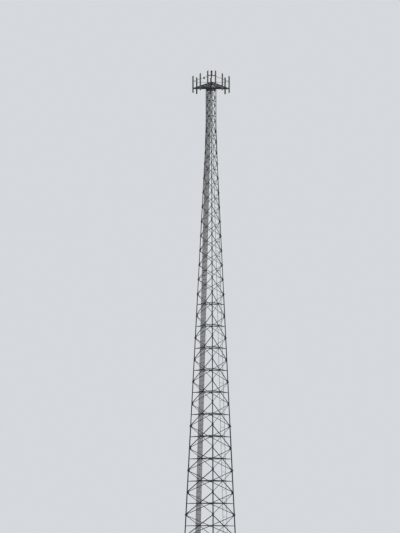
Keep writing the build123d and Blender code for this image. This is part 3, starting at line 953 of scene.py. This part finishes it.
class MAST_OT_node_sleeves(bpy.types.Operator):
    """Model the sleeves that thicken the upper legs at the panel points between two flange joints"""

    bl_idname = "mast.node_sleeves"
    bl_label = "Node sleeves"

    def execute(self, context):
        sleeves = []
        for number in SECTIONS[BOLTED_SECTIONS:]:
            low, high = section_levels(number)
            places = []
            for angle in LEG_ANGLES:
                foot = leg_point(angle, low)
                line = leg_point(angle, high) - foot
                for rise in panel_nodes(number)[1:-1]:
                    places.append(line_matrix(foot + line * (rise / slope_length(number)), line))
            # A sleeve is twice as wide as its leg and narrows at both ends.
            sleeve = add_drum(LEG_DIAMETERS[number - 1], -SLEEVE_HALF, SLEEVE_HALF)
            edit(sleeve)
            cut(-0.6 * SLEEVE_HALF, 0.6 * SLEEVE_HALF)
            for level in (-SLEEVE_HALF, SLEEVE_HALF):
                scale_ring(level, 0.6)
            finish_edit()
            sleeves.append(copy_to(soften(sleeve, 0.003), places))
        finish_piece(join(sleeves), "node_sleeves")
        return {"FINISHED"}


def add_rung(length, size):
    """Rung of angle bar: an upright leg outside and a level leg on top, towards the tower."""
    thickness = 0.003
    rung = add_block((length, size, thickness), (0, 0, -thickness / 2))
    edit(rung)
    cut(size / 2 - thickness, axis=1)
    choose(lambda face: face.normal.z < -0.9 and face.calc_center_median().y > size / 2 - thickness)
    extrude((0, 0, thickness - size))
    finish_edit()
    return soften(rung, 0.0006)


def rung_places(face, pitch):
    """Places of rungs up a ladder, clear of its cross bars."""
    depth = LADDER_FRONT - 0.0005
    bars = []
    for number in SECTIONS:
        lean = FACE_LEAN if number <= TAPERED_SECTIONS else 0
        bars += [section_levels(number)[0] + rise * math.cos(lean) for rise in cross_bar_rises(number)]
    places = []
    level = LADDER_FOOT + pitch / 2
    while level < LADDER_HEAD - 0.03:
        lift = depth * math.tan(FACE_LEAN) if level < TAPER_TOP else 0
        if all(abs(level + lift - bar) > 0.035 for bar in bars):
            places.append(face_matrix(face, level, out=depth))
        level += pitch
    return places


class MAST_OT_rungs(bpy.types.Operator):
    """Model the rungs of the two ladders"""

    bl_idname = "mast.rungs"
    bl_label = "Ladder rungs"

    def execute(self, context):
        sizes = context.scene.mast_sizes
        for face, pitch, name in (
            (LEFT_FACE, sizes.rung_pitch, "feeder_ladder_rungs"),
            (RIGHT_FACE, sizes.spare_rung_pitch, "spare_ladder_rungs"),
        ):
            rungs = copy_to(add_rung(RUNG_LENGTH, sizes.rung_size), rung_places(face, pitch))
            finish_piece(rungs, name)
        return {"FINISHED"}


def outline_along_face(depth, foot, head):
    """Side view of a line at a distance out of the face, which bends where the taper ends."""
    bend = TAPER_TOP + depth * math.tan(FACE_LEAN / 2)
    top = face_inset(TAPER_TOP) + depth
    return [(face_inset(foot) + depth / math.cos(FACE_LEAN), foot), (top, bend), (top, head)]


def add_feeder_seal(end, other):
    """Sleeve with a rounded rim round an end of a feeder line, towards another point of the line."""
    seal = add_drum(FEEDER_DIAMETER * 0.62, 0, FEEDER_DIAMETER * 1.8, 20)
    edit(seal)
    choose(lambda face: abs(face.normal.z) > 0.9)
    bpy.ops.mesh.inset(thickness=FEEDER_DIAMETER * 0.08, depth=FEEDER_DIAMETER * 0.06)
    finish_edit()
    return placed(seal, line_matrix(end, (other - end).normalized()))


class MAST_OT_feeders(bpy.types.Operator):
    """Model the round feeder lines up the left ladder, with the seals on their ends"""

    bl_idname = "mast.feeders"
    bl_label = "Feeder lines"

    def execute(self, context):
        lines = []
        seals = []
        outline = outline_along_face(LADDER_FRONT + FEEDER_DIAMETER / 2, FEEDER_FOOT, FEEDER_HEAD)
        for along in FEEDER_OFFSETS:
            corners = [upright_matrix(LEFT_FACE, out, along, z).translation for out, z in outline]
            curve, route = add_curve("POLY", FEEDER_DIAMETER / 2, 3)
            curve.use_fill_caps = True
            route.points.add(len(corners) - 1)
            for point, corner in zip(route.points, corners):
                point.co = (*corner, 1)
            bpy.ops.object.convert(target="MESH")
            lines.append(context.object)
            seals += [add_feeder_seal(end, corners[1]) for end in (corners[0], corners[2])]
        finish_piece(join(lines), "feeders", "feeder_jacket", "feeder_lines")
        finish_piece(join(seals), "feeder_seals", "feeder_jacket")
        return {"FINISHED"}


def add_hanger():
    """Clamp round a feeder on a cross bar: a block with rounded shoulders and a bolt. Z points outwards."""
    depth = FEEDER_DIAMETER + 0.006
    block = add_block((FEEDER_DIAMETER + 0.014, 0.018, depth), (0, 0, depth / 2))
    bevel(
        block, lambda edge: all(vertex.co.z > depth * 0.9 for vertex in edge.verts) and span(edge, 1) > 0.001,
        FEEDER_DIAMETER * 0.42, 3,
    )
    soften(block, 0.0006, angle=60)
    return join([block, placed(add_hexagon(0.008, 0.004), shift(z=depth))])


class MAST_OT_hangers(bpy.types.Operator):
    """Model the clamps that hold the feeder lines to the cross bars of their ladder"""

    bl_idname = "mast.hangers"
    bl_label = "Feeder clamps"

    def execute(self, context):
        places = [
            face_matrix(LEFT_FACE, section_levels(number)[0], along, rise, LADDER_FRONT)
            for number in SECTIONS for rise in cross_bar_rises(number) for along in FEEDER_OFFSETS
        ]
        finish_piece(copy_to(add_hanger(), places), "feeder_clamps", finish=plated_zinc)
        return {"FINISHED"}


class MAST_OT_deck_mesh(bpy.types.Operator):
    """Model the open wire mesh of the deck: rods both ways in a frame of flat bars round each panel"""

    bl_idname = "mast.deck_mesh"
    bl_label = "Deck mesh"

    def execute(self, context):
        pitch = context.scene.mast_sizes.mesh_pitch
        rod = context.scene.mast_sizes.mesh_rod
        top = DECK_BOTTOM + DECK_THICKNESS
        middle = DECK_BOTTOM + DECK_THICKNESS / 2
        # A panel widens outwards by the spread. The end bars of two panels leave a gap of two slits.
        bar = 0.003
        slit = 0.0015
        spread = math.sqrt(3)
        start = 2 * (slit + bar / 2) / spread
        inner = DECK_OPENING + bar / 2
        outer = DECK_INSET - bar / 2
        outward = []
        count = int((DECK_INSET - start) * spread / pitch)
        for along in (step * pitch for step in range(-count, count + 1)):
            low = max(inner, abs(along) / spread + start)
            if outer - low > 0.01:
                stretch = Matrix.Diagonal((1, 1, outer - low, 1))
                outward.append(shift(low, along, top - rod * 1.5) @ turned(90, "Y") @ stretch)
        across = []
        level = DECK_OPENING + pitch
        while level < DECK_INSET - 0.01:
            half = (level - start) * spread
            stretch = Matrix.Diagonal((1, 1, 2 * half, 1))
            across.append(shift(level, half, top - rod * 0.55) @ turned(90, "X") @ stretch)
            level += pitch
        pieces = [copy_to(add_drum(rod / 2, 0, 1, 6), places) for places in (outward, across)]
        for level in (inner, outer):
            side_bar = add_block((bar, 2 * (level * spread - slit * 2), DECK_THICKNESS), (level, 0, middle))
            pieces.append(soften(side_bar, 0.0004))
        length = 2 * (DECK_INSET - DECK_OPENING) - 0.01
        centre = (2 * DECK_OPENING + 0.005 + length / 2, 0, middle)
        for side in (-1, 1):
            end_bar = soften(add_block((length, bar, DECK_THICKNESS), centre), 0.0004)
            pieces.append(placed(end_bar, turned(side * 60) @ shift(0, -side * (slit + bar / 2))))
        deck = copy_to(join(pieces), [upright_matrix(angle, 0, 0, 0) for angle in PLATFORM_ANGLES])
        finish_piece(deck, "deck_wire_mesh", "deck_mesh", "platform_deck")
        return {"FINISHED"}


def add_pipe(radius, low, high):
    """Upright round pipe with a shallow cap set in each end."""
    pipe = add_drum(radius, low, high)
    edit(pipe)
    cut(low + 0.02, high - 0.02)
    choose(lambda face: abs(face.normal.z) > 0.9)
    bpy.ops.mesh.inset(thickness=radius * 0.3, depth=0)
    bpy.ops.mesh.inset(thickness=0.0008, depth=-0.0012)
    finish_edit()
    return pipe


class MAST_OT_antenna_pipes(bpy.types.Operator):
    """Model the nine round pipes that carry the antennas"""

    bl_idname = "mast.antenna_pipes"
    bl_label = "Antenna pipes"

    def execute(self, context):
        pipe = add_pipe(PIPE_RADIUS, PIPE_BOTTOM, PIPE_BOTTOM + PIPE_LENGTH)
        pipes = copy_to(pipe, antenna_places(ANTENNA_INSET, [0]))
        finish_piece(pipes, "round_antenna_pipes", replaced="antenna_pipes")
        return {"FINISHED"}


class MAST_OT_guard_rail(bpy.types.Operator):
    """Model the bent guard rail round the platform"""

    bl_idname = "mast.guard_rail"
    bl_label = "Guard rail"

    def execute(self, context):
        corners = [
            upright_matrix(angle + HEAD_TURN, RAIL_INSET, along, RAIL_LEVEL).translation
            for angle in (RIGHT_FACE, REAR_FACE, LEFT_FACE) for along in (-RAIL_END, RAIL_END)
        ]
        curve, route = add_curve("BEZIER", RAIL_RADIUS, 4)
        bends = []
        for step, corner in enumerate(corners):
            for other in (corners[step - 1], corners[(step + 1) % len(corners)]):
                bends.append((corner + (other - corner).normalized() * 0.06, corner))
        route.bezier_points.add(len(bends) - 1)
        for step, (point, (place, corner)) in enumerate(zip(route.bezier_points, bends)):
            inward = place + (corner - place) * 0.6
            straight = place - (corner - place) * 0.6
            point.co = place
            point.handle_left_type = point.handle_right_type = "FREE"
            point.handle_left = straight if step % 2 == 0 else inward
            point.handle_right = inward if step % 2 == 0 else straight
        route.use_cyclic_u = True
        route.resolution_u = 6
        bpy.ops.object.convert(target="MESH")
        finish_piece(context.object, "bent_guard_rail", replaced="guard_rail")
        return {"FINISHED"}


def add_antenna():
    """Panel antenna: a shell with rounded front corners, and a cap at each end. X points outward."""
    middle = ANTENNA_BACK + ANTENNA_DEPTH / 2
    high = ANTENNA_LOW + ANTENNA_HEIGHT
    size = (ANTENNA_DEPTH, ANTENNA_WIDTH, ANTENNA_HEIGHT - 0.016)
    shell = add_block(size, (middle, 0, (ANTENNA_LOW + high) / 2))
    bevel(shell, lambda edge: span(edge, 2) > 0.5 and edge.verts[0].co.x > middle, 0.016, 5)
    bevel(shell, lambda edge: span(edge, 2) > 0.5 and edge.verts[0].co.x < ANTENNA_BACK + 0.001, 0.004, 2)
    pieces = [shell]
    for level in (ANTENNA_LOW + 0.0045, high - 0.0045):
        cap = add_block((ANTENNA_DEPTH - 0.001, ANTENNA_WIDTH - 0.001, 0.009), (middle, 0, level))
        bevel(cap, lambda edge: span(edge, 2) > 0.005 and edge.verts[0].co.x > middle, 0.015, 5)
        pieces.append(soften(cap, 0.0015))
    return join(pieces)


def add_sockets(sizes, points):
    """Threaded sockets or glands with the sizes of a hexagon, which hang down from some points."""
    tip = turned(180, "X")
    return [placed(add_hexagon(*sizes), Matrix.Translation(point) @ tip) for point in points]


class MAST_OT_antennas(bpy.types.Operator):
    """Model the nine panel antennas with their end caps and sockets"""

    bl_idname = "mast.antennas"
    bl_label = "Panel antennas"

    def execute(self, context):
        places = antenna_places(0, [0])
        finish_piece(copy_to(add_antenna(), places), "antenna_shells", "antenna_shell", "panel_antennas")
        points = [(ANTENNA_BACK + 0.026, y, ANTENNA_LOW) for y in (-0.036, -0.012, 0.012, 0.036)]
        sockets = add_sockets((0.014, 0.006, 0.0045, 0.014), points)
        finish_piece(copy_to(join(sockets), places), "antenna_sockets", finish=plated_zinc)
        return {"FINISHED"}


def add_u_bolt(reach):
    """U-bolt round an upright antenna pipe at the origin, its two legs along X, with their nuts."""
    deselect()
    across = PIPE_RADIUS + U_BOLT_RADIUS
    bpy.ops.mesh.primitive_circle_add(
        vertices=8, radius=U_BOLT_RADIUS, fill_type="NGON",
        location=(0, across, 0), rotation=(0, math.pi / 2, 0),
    )
    bpy.ops.object.transform_apply(location=True, rotation=True, scale=True)
    rod = bpy.context.object
    edit(rod)
    bpy.ops.mesh.spin(steps=8, angle=-math.pi, center=(0, 0, 0), axis=(0, 0, 1))
    choose(lambda face: len(face.verts) > 4)
    extrude((reach, 0, 0))
    finish_edit()
    if min(vertex.co.x for vertex in rod.data.vertices) > -across * 0.9:
        raise RuntimeError("the U-bolt was spun the wrong way round")
    pieces = [rod]
    for y in (-across, across):
        nut = add_hexagon(U_BOLT_RADIUS * 3.3, U_BOLT_RADIUS * 1.7)
        pieces.append(placed(nut, shift(reach - U_BOLT_RADIUS * 4.5, y) @ turned(90, "Y")))
    return join(pieces)


class MAST_OT_brackets(bpy.types.Operator):
    """Model the antenna brackets: a bent plate on the antenna's back and U-bolts round the pipe"""

    bl_idname = "mast.brackets"
    bl_label = "Antenna brackets"

    def execute(self, context):
        plate = add_block((0.004, 0.044, 0.05), (PIPE_RADIUS + 0.0025, 0, 0))
        bevel(plate, lambda edge: span(edge, 0) > 0.001, 0.007, 2)
        web = soften(add_block((0.01, 0.034, 0.05), (PIPE_RADIUS + 0.0068, 0, 0)), 0.0008)
        u_bolts = [placed(add_u_bolt(0.026), shift(z=level)) for level in (-0.014, 0.014)]
        places = antenna_places(ANTENNA_INSET, (PIPE_BOTTOM + 0.17, PIPE_BOTTOM + PIPE_LENGTH - 0.17))
        brackets = copy_to(join([plate, web, *u_bolts]), places)
        finish_piece(brackets, "antenna_clamps", replaced="antenna_brackets", finish=plated_zinc)
        return {"FINISHED"}


class MAST_OT_pipe_clamps(bpy.types.Operator):
    """Model the U-bolts that hold the antenna pipes to the standoffs and to the guard rail"""

    bl_idname = "mast.pipe_clamps"
    bl_label = "Pipe clamps"

    def execute(self, context):
        saddle = soften(add_block((0.005, 0.052, 0.036), (-PIPE_RADIUS - 0.0025, 0, 0)), 0.0008)
        clamp = join([saddle, placed(add_u_bolt(0.026), turned(180))])
        clamps = copy_to(clamp, antenna_places(ANTENNA_INSET, (FRAME_MIDDLE, RAIL_LEVEL)))
        finish_piece(clamps, "pipe_clamps", finish=plated_zinc)
        return {"FINISHED"}


class MAST_OT_cross_pipe(bpy.types.Operator):
    """Model the pipe above the rail that ties the two front antenna pipes together, with its clamps"""

    bl_idname = "mast.cross_pipe"
    bl_label = "Cross pipe"

    def execute(self, context):
        radius = 0.021
        right = upright_matrix(RIGHT_FACE + HEAD_TURN, ANTENNA_INSET, ANTENNA_OFFSETS[0], 0).translation
        left = upright_matrix(LEFT_FACE + HEAD_TURN, ANTENNA_INSET, ANTENNA_OFFSETS[-1], 0).translation
        half = (right - left).length / 2
        pipe = add_pipe(radius, -half - 0.045, half + 0.045)
        placed(pipe, shift(-PIPE_RADIUS - radius) @ turned(90, "X"))
        back = PIPE_RADIUS + 2 * radius
        clamps = []
        for y in (-half, half):
            clamps.append(soften(add_block((0.004, 0.056, 0.07), (-back - 0.002, y, 0.012)), 0.0008))
            clamps.append(placed(add_u_bolt(back + 0.016), shift(0, y, radius + 0.006) @ turned(180)))
        middle = (right + left) / 2
        place = shift(middle.x, middle.y, RAIL_LEVEL + RAIL_RADIUS + radius) @ turned(HEAD_TURN - 90)
        finish_piece(placed(pipe, place), "front_cross_pipe")
        finish_piece(placed(join(clamps), place), "cross_pipe_clamps", finish=plated_zinc)
        return {"FINISHED"}


class MAST_OT_radio_unit(bpy.types.Operator):
    """Model the finned radio unit that hangs on the guard rail"""

    bl_idname = "mast.radio_unit"
    bl_label = "Radio unit"

    def execute(self, context):
        width = 0.11
        height = 0.15
        depth = 0.06
        body_depth = 0.036
        fins = 11
        back = RAIL_INSET + RAIL_RADIUS
        middle = RAIL_LEVEL + 0.02 - height / 2
        unit = add_block((body_depth, width, height), (back + body_depth / 2, 0, middle))
        edit(unit)
        margin = 0.003
        pitch = (width - 2 * margin) / fins
        for step in range(fins):
            cut(*(margin - width / 2 + (step + edge) * pitch for edge in (0.3, 0.7)), axis=1)
        # The narrow strips become fins, except the ones on the margins.
        choose(
            lambda face: face.normal.x > 0.9 and face.calc_area() < pitch * 0.41 * height
            and abs(face.calc_center_median().y) < width / 2 - 0.005
        )
        extrude((depth - body_depth, 0, 0))
        finish_edit()
        soften(unit, 0.0008)
        points = [(back + 0.018, y, middle - height / 2) for y in (-0.03, 0, 0.03)]
        unit = join([unit, *add_sockets((0.013, 0.007, 0.0045, 0.012), points)])
        placed(unit, upright_matrix(LEFT_FACE + HEAD_TURN, 0, 0.47, 0))
        finish_piece(unit, "finned_radio_unit", "unit_housing", "radio_unit")
        return {"FINISHED"}


class MAST_OT_junction_box(bpy.types.Operator):
    """Model the beacon's junction box with its lid, screws and glands"""

    bl_idname = "mast.junction_box"
    bl_label = "Junction box"

    def execute(self, context):
        near = leg_point(-90, LEG_TOP).y + POST_RADIUS
        low = LEG_TOP + BOX_BOTTOM
        middle = low + LID_SIZE[2] / 2
        pieces = [
            soften(add_block(BOX_SIZE, (0, near + BOX_SIZE[1] / 2, middle)), 0.004, 3),
            soften(add_block(LID_SIZE, (0, near + 0.0435, middle)), 0.003, 2),
        ]
        for x in (-0.033, 0.033):
            for z in (0.007, 0.103):
                screw = add_hexagon(0.006, 0.002)
                pieces.append(placed(screw, shift(x, near + 0.0478, low + z) @ turned(-90, "X")))
        points = [(x, near + BOX_SIZE[1] / 2, low + 0.003) for x in (-0.018, 0.018)]
        pieces += add_sockets((0.014, 0.006, 0.0045, 0.01), points)
        finish_piece(join(pieces), "lidded_junction_box", "unit_housing", "junction_box")
        return {"FINISHED"}


def add_post():
    """Post of the beacon with a flared foot on its square plate."""
    post = add_drum(POST_RADIUS, 0, POST_HEIGHT, BEACON_SIDES)
    edit(post)
    cut(0.016)
    scale_ring(0, 1.6)
    finish_edit()
    size = (POST_FOOT_SIDE, POST_FOOT_SIDE, POST_FOOT_THICKNESS)
    return join([post, soften(add_block(size, (0, 0, POST_FOOT_THICKNESS / 2)), 0.001)])


def add_housing():
    """Cast base and domed cap of the beacon, each with eight screws on the lens's rim."""
    pieces = []
    # Each has its two ends, the levels where it is cut, and the share of the radius that is kept at a level.
    for low, high, cuts, rings in (
        (POST_HEIGHT, LENS_LOW, (0.66, 0.648), ((POST_HEIGHT, 0.72), (0.648, 0.88))),
        (
            LENS_HIGH, BEACON_TOP, (0.882, 0.888, 0.935, 0.962),
            ((0.888, 0.95), (0.935, 0.92), (0.962, 0.7), (BEACON_TOP, 0.3)),
        ),
    ):
        shell = add_drum(BEACON_RADIUS, low, high, BEACON_SIDES)
        edit(shell)
        cut(*cuts)
        for level, share in rings:
            scale_ring(level, share)
        finish_edit()
        pieces.append(soften(shell, 0.0015, 2))
    for step in range(8):
        for level, tip in ((LENS_LOW, 0), (LENS_HIGH, 180)):
            place = turned(22.5 + 45 * step) @ shift(BEACON_SCREWS_REACH, 0, level) @ turned(tip, "X")
            pieces.append(placed(add_hexagon(0.007, 0.003), place))
    return join(pieces)


def add_lens():
    """Lens with rounded ribs, let in a little at both ends."""
    low = LENS_LOW - LENS_INSET
    high = LENS_HIGH + LENS_INSET
    rib = (high - low) / LENS_RIBS
    lens = add_drum(LENS_RADIUS, low, high, BEACON_SIDES)
    edit(lens)
    cut(*(low + step * rib / 2 for step in range(1, 2 * LENS_RIBS)))
    for step in range(LENS_RIBS):
        scale_ring(low + (step + 0.5) * rib, 1.038)
    finish_edit()
    return lens


class MAST_OT_beacon(bpy.types.Operator):
    """Model the beacon: its post, the ribbed lens and the cast base and cap"""

    bl_idname = "mast.beacon"
    bl_label = "Beacon"

    def execute(self, context):
        foot = Matrix.Translation(leg_point(-90, LEG_TOP))
        finish_piece(placed(add_post(), foot), "round_beacon_post", replaced="beacon_post")
        finish_piece(placed(add_housing(), foot), "cast_beacon_housing", "beacon_housing", "beacon_housing")
        finish_piece(placed(add_lens(), foot), "ribbed_beacon_lens", "beacon_lens", "beacon_lens", angle=20)
        return {"FINISHED"}


class MAST_OT_stage(bpy.types.Operator):
    """Set out the pale floor, the soft light and the camera"""

    bl_idname = "mast.stage"
    bl_label = "Stage"

    def execute(self, context):
        stage = context.scene.mast_stage
        deselect()
        bpy.ops.mesh.primitive_plane_add(size=1600, location=(0, 0, 0))
        floor = context.object
        floor.name = "floor"
        floor.data.materials.append(material_of(pale_floor))

        world = bpy.data.worlds.new("Pale studio")
        context.scene.world = world
        world.use_nodes = True
        tree = world.node_tree
        # Camera, glossy and transmission rays meet the backdrop, and all others get the even light.
        rays = add_node(tree, "ShaderNodeLightPath").outputs
        seen = rays["Is Camera Ray"]
        for name in ("Is Glossy Ray", "Is Transmission Ray"):
            links = {0: seen, 1: rays[name]}
            seen = add_node(tree, "ShaderNodeMath", links=links, settings={"operation": "MAXIMUM"}).outputs[0]
        even = {"Color": (1, 1, 1, 1), "Strength": stage.sky_strength}
        light = add_node(tree, "ShaderNodeBackground", even)
        backdrop = add_node(tree, "ShaderNodeBackground", {"Color": shade(stage.backdrop), "Strength": 1})
        shaders = {0: seen, 1: light.outputs[0], 2: backdrop.outputs[0]}
        mixed = add_node(tree, "ShaderNodeMixShader", links=shaders)
        set_node(tree.nodes["World Output"], links={"Surface": mixed.outputs[0]})

        for name, share, turn in (("Key lamp", 1, (48, 0, -35)), ("Fill lamp", 0.4, (60, 0, 120))):
            deselect()
            bpy.ops.object.light_add(type="SUN", rotation=[math.radians(part) for part in turn])
            lamp = context.object
            lamp.name = name
            lamp.data.energy = stage.lamp_strength * share
            lamp.data.angle = math.radians(25)

        # The camera was fitted to the section joints in the photograph.
        heading = 3.8961
        pan = -0.0052
        pitch = 0.1296
        roll = 0.0009
        turn = Matrix.Rotation(-math.radians(heading), 3, "Z")
        level = math.cos(pitch)
        forward = turn @ Vector((math.sin(pan) * level, math.cos(pan) * level, math.sin(pitch)))
        right = turn @ Vector((math.cos(pan), -math.sin(pan), 0))
        up = right.cross(forward)
        side = right * math.cos(roll) + up * math.sin(roll)
        top = up * math.cos(roll) - right * math.sin(roll)
        away = turn @ Vector((0, -stage.distance, 0))
        deselect()
        bpy.ops.object.camera_add()
        camera = context.object
        place = Matrix((side, top, -forward)).transposed().to_4x4()
        place.translation = Vector((away.x, AXIS_Y + away.y, stage.height))
        camera.matrix_world = place
        camera.data.sensor_width = 36
        camera.data.lens = stage.lens
        camera.data.clip_start = 1
        camera.data.clip_end = 3000
        context.scene.camera = camera
        context.scene.view_settings.view_transform = "Standard"
        return {"FINISHED"}


PIECES = (
    MAST_OT_steelwork,
    MAST_OT_legs,
    MAST_OT_flange_bolts,
    MAST_OT_flange_ribs,
    MAST_OT_anchor_rods,
    MAST_OT_bracing_bolts,
    MAST_OT_crossing_plates,
    MAST_OT_knot_plates,
    MAST_OT_node_sleeves,
    MAST_OT_rungs,
    MAST_OT_feeders,
    MAST_OT_hangers,
    MAST_OT_deck_mesh,
    MAST_OT_antenna_pipes,
    MAST_OT_guard_rail,
    MAST_OT_antennas,
    MAST_OT_brackets,
    MAST_OT_pipe_clamps,
    MAST_OT_cross_pipe,
    MAST_OT_radio_unit,
    MAST_OT_junction_box,
    MAST_OT_beacon,
    MAST_OT_stage,
)


class MAST_PT_pieces(bpy.types.Panel):
    """Lists the pieces of the mast and the sizes and colours behind them"""

    bl_idname = "MAST_PT_pieces"
    bl_label = "Lattice radio mast"
    bl_space_type = "VIEW_3D"
    bl_region_type = "UI"
    bl_category = "Mast"

    def draw(self, context):
        for group in (context.scene.mast_sizes, context.scene.mast_finishes, context.scene.mast_stage):
            box = self.layout.box()
            for name in group.__annotations__:
                box.prop(group, name)
        for piece in PIECES:
            self.layout.operator(piece.bl_idname)


CLASSES = (MastFinishes, MastSizes, MastStage, *PIECES, MAST_PT_pieces)


def register():
    for entry in CLASSES:
        bpy.utils.register_class(entry)
    bpy.types.Scene.mast_finishes = bpy.props.PointerProperty(type=MastFinishes)
    bpy.types.Scene.mast_sizes = bpy.props.PointerProperty(type=MastSizes)
    bpy.types.Scene.mast_stage = bpy.props.PointerProperty(type=MastStage)


def unregister():
    del bpy.types.Scene.mast_stage
    del bpy.types.Scene.mast_sizes
    del bpy.types.Scene.mast_finishes
    for entry in reversed(CLASSES):
        bpy.utils.unregister_class(entry)


def main():
    register()
    for piece in PIECES:
        group, name = piece.bl_idname.split(".")
        getattr(getattr(bpy.ops, group), name)()


if __name__ == "__main__":
    main()
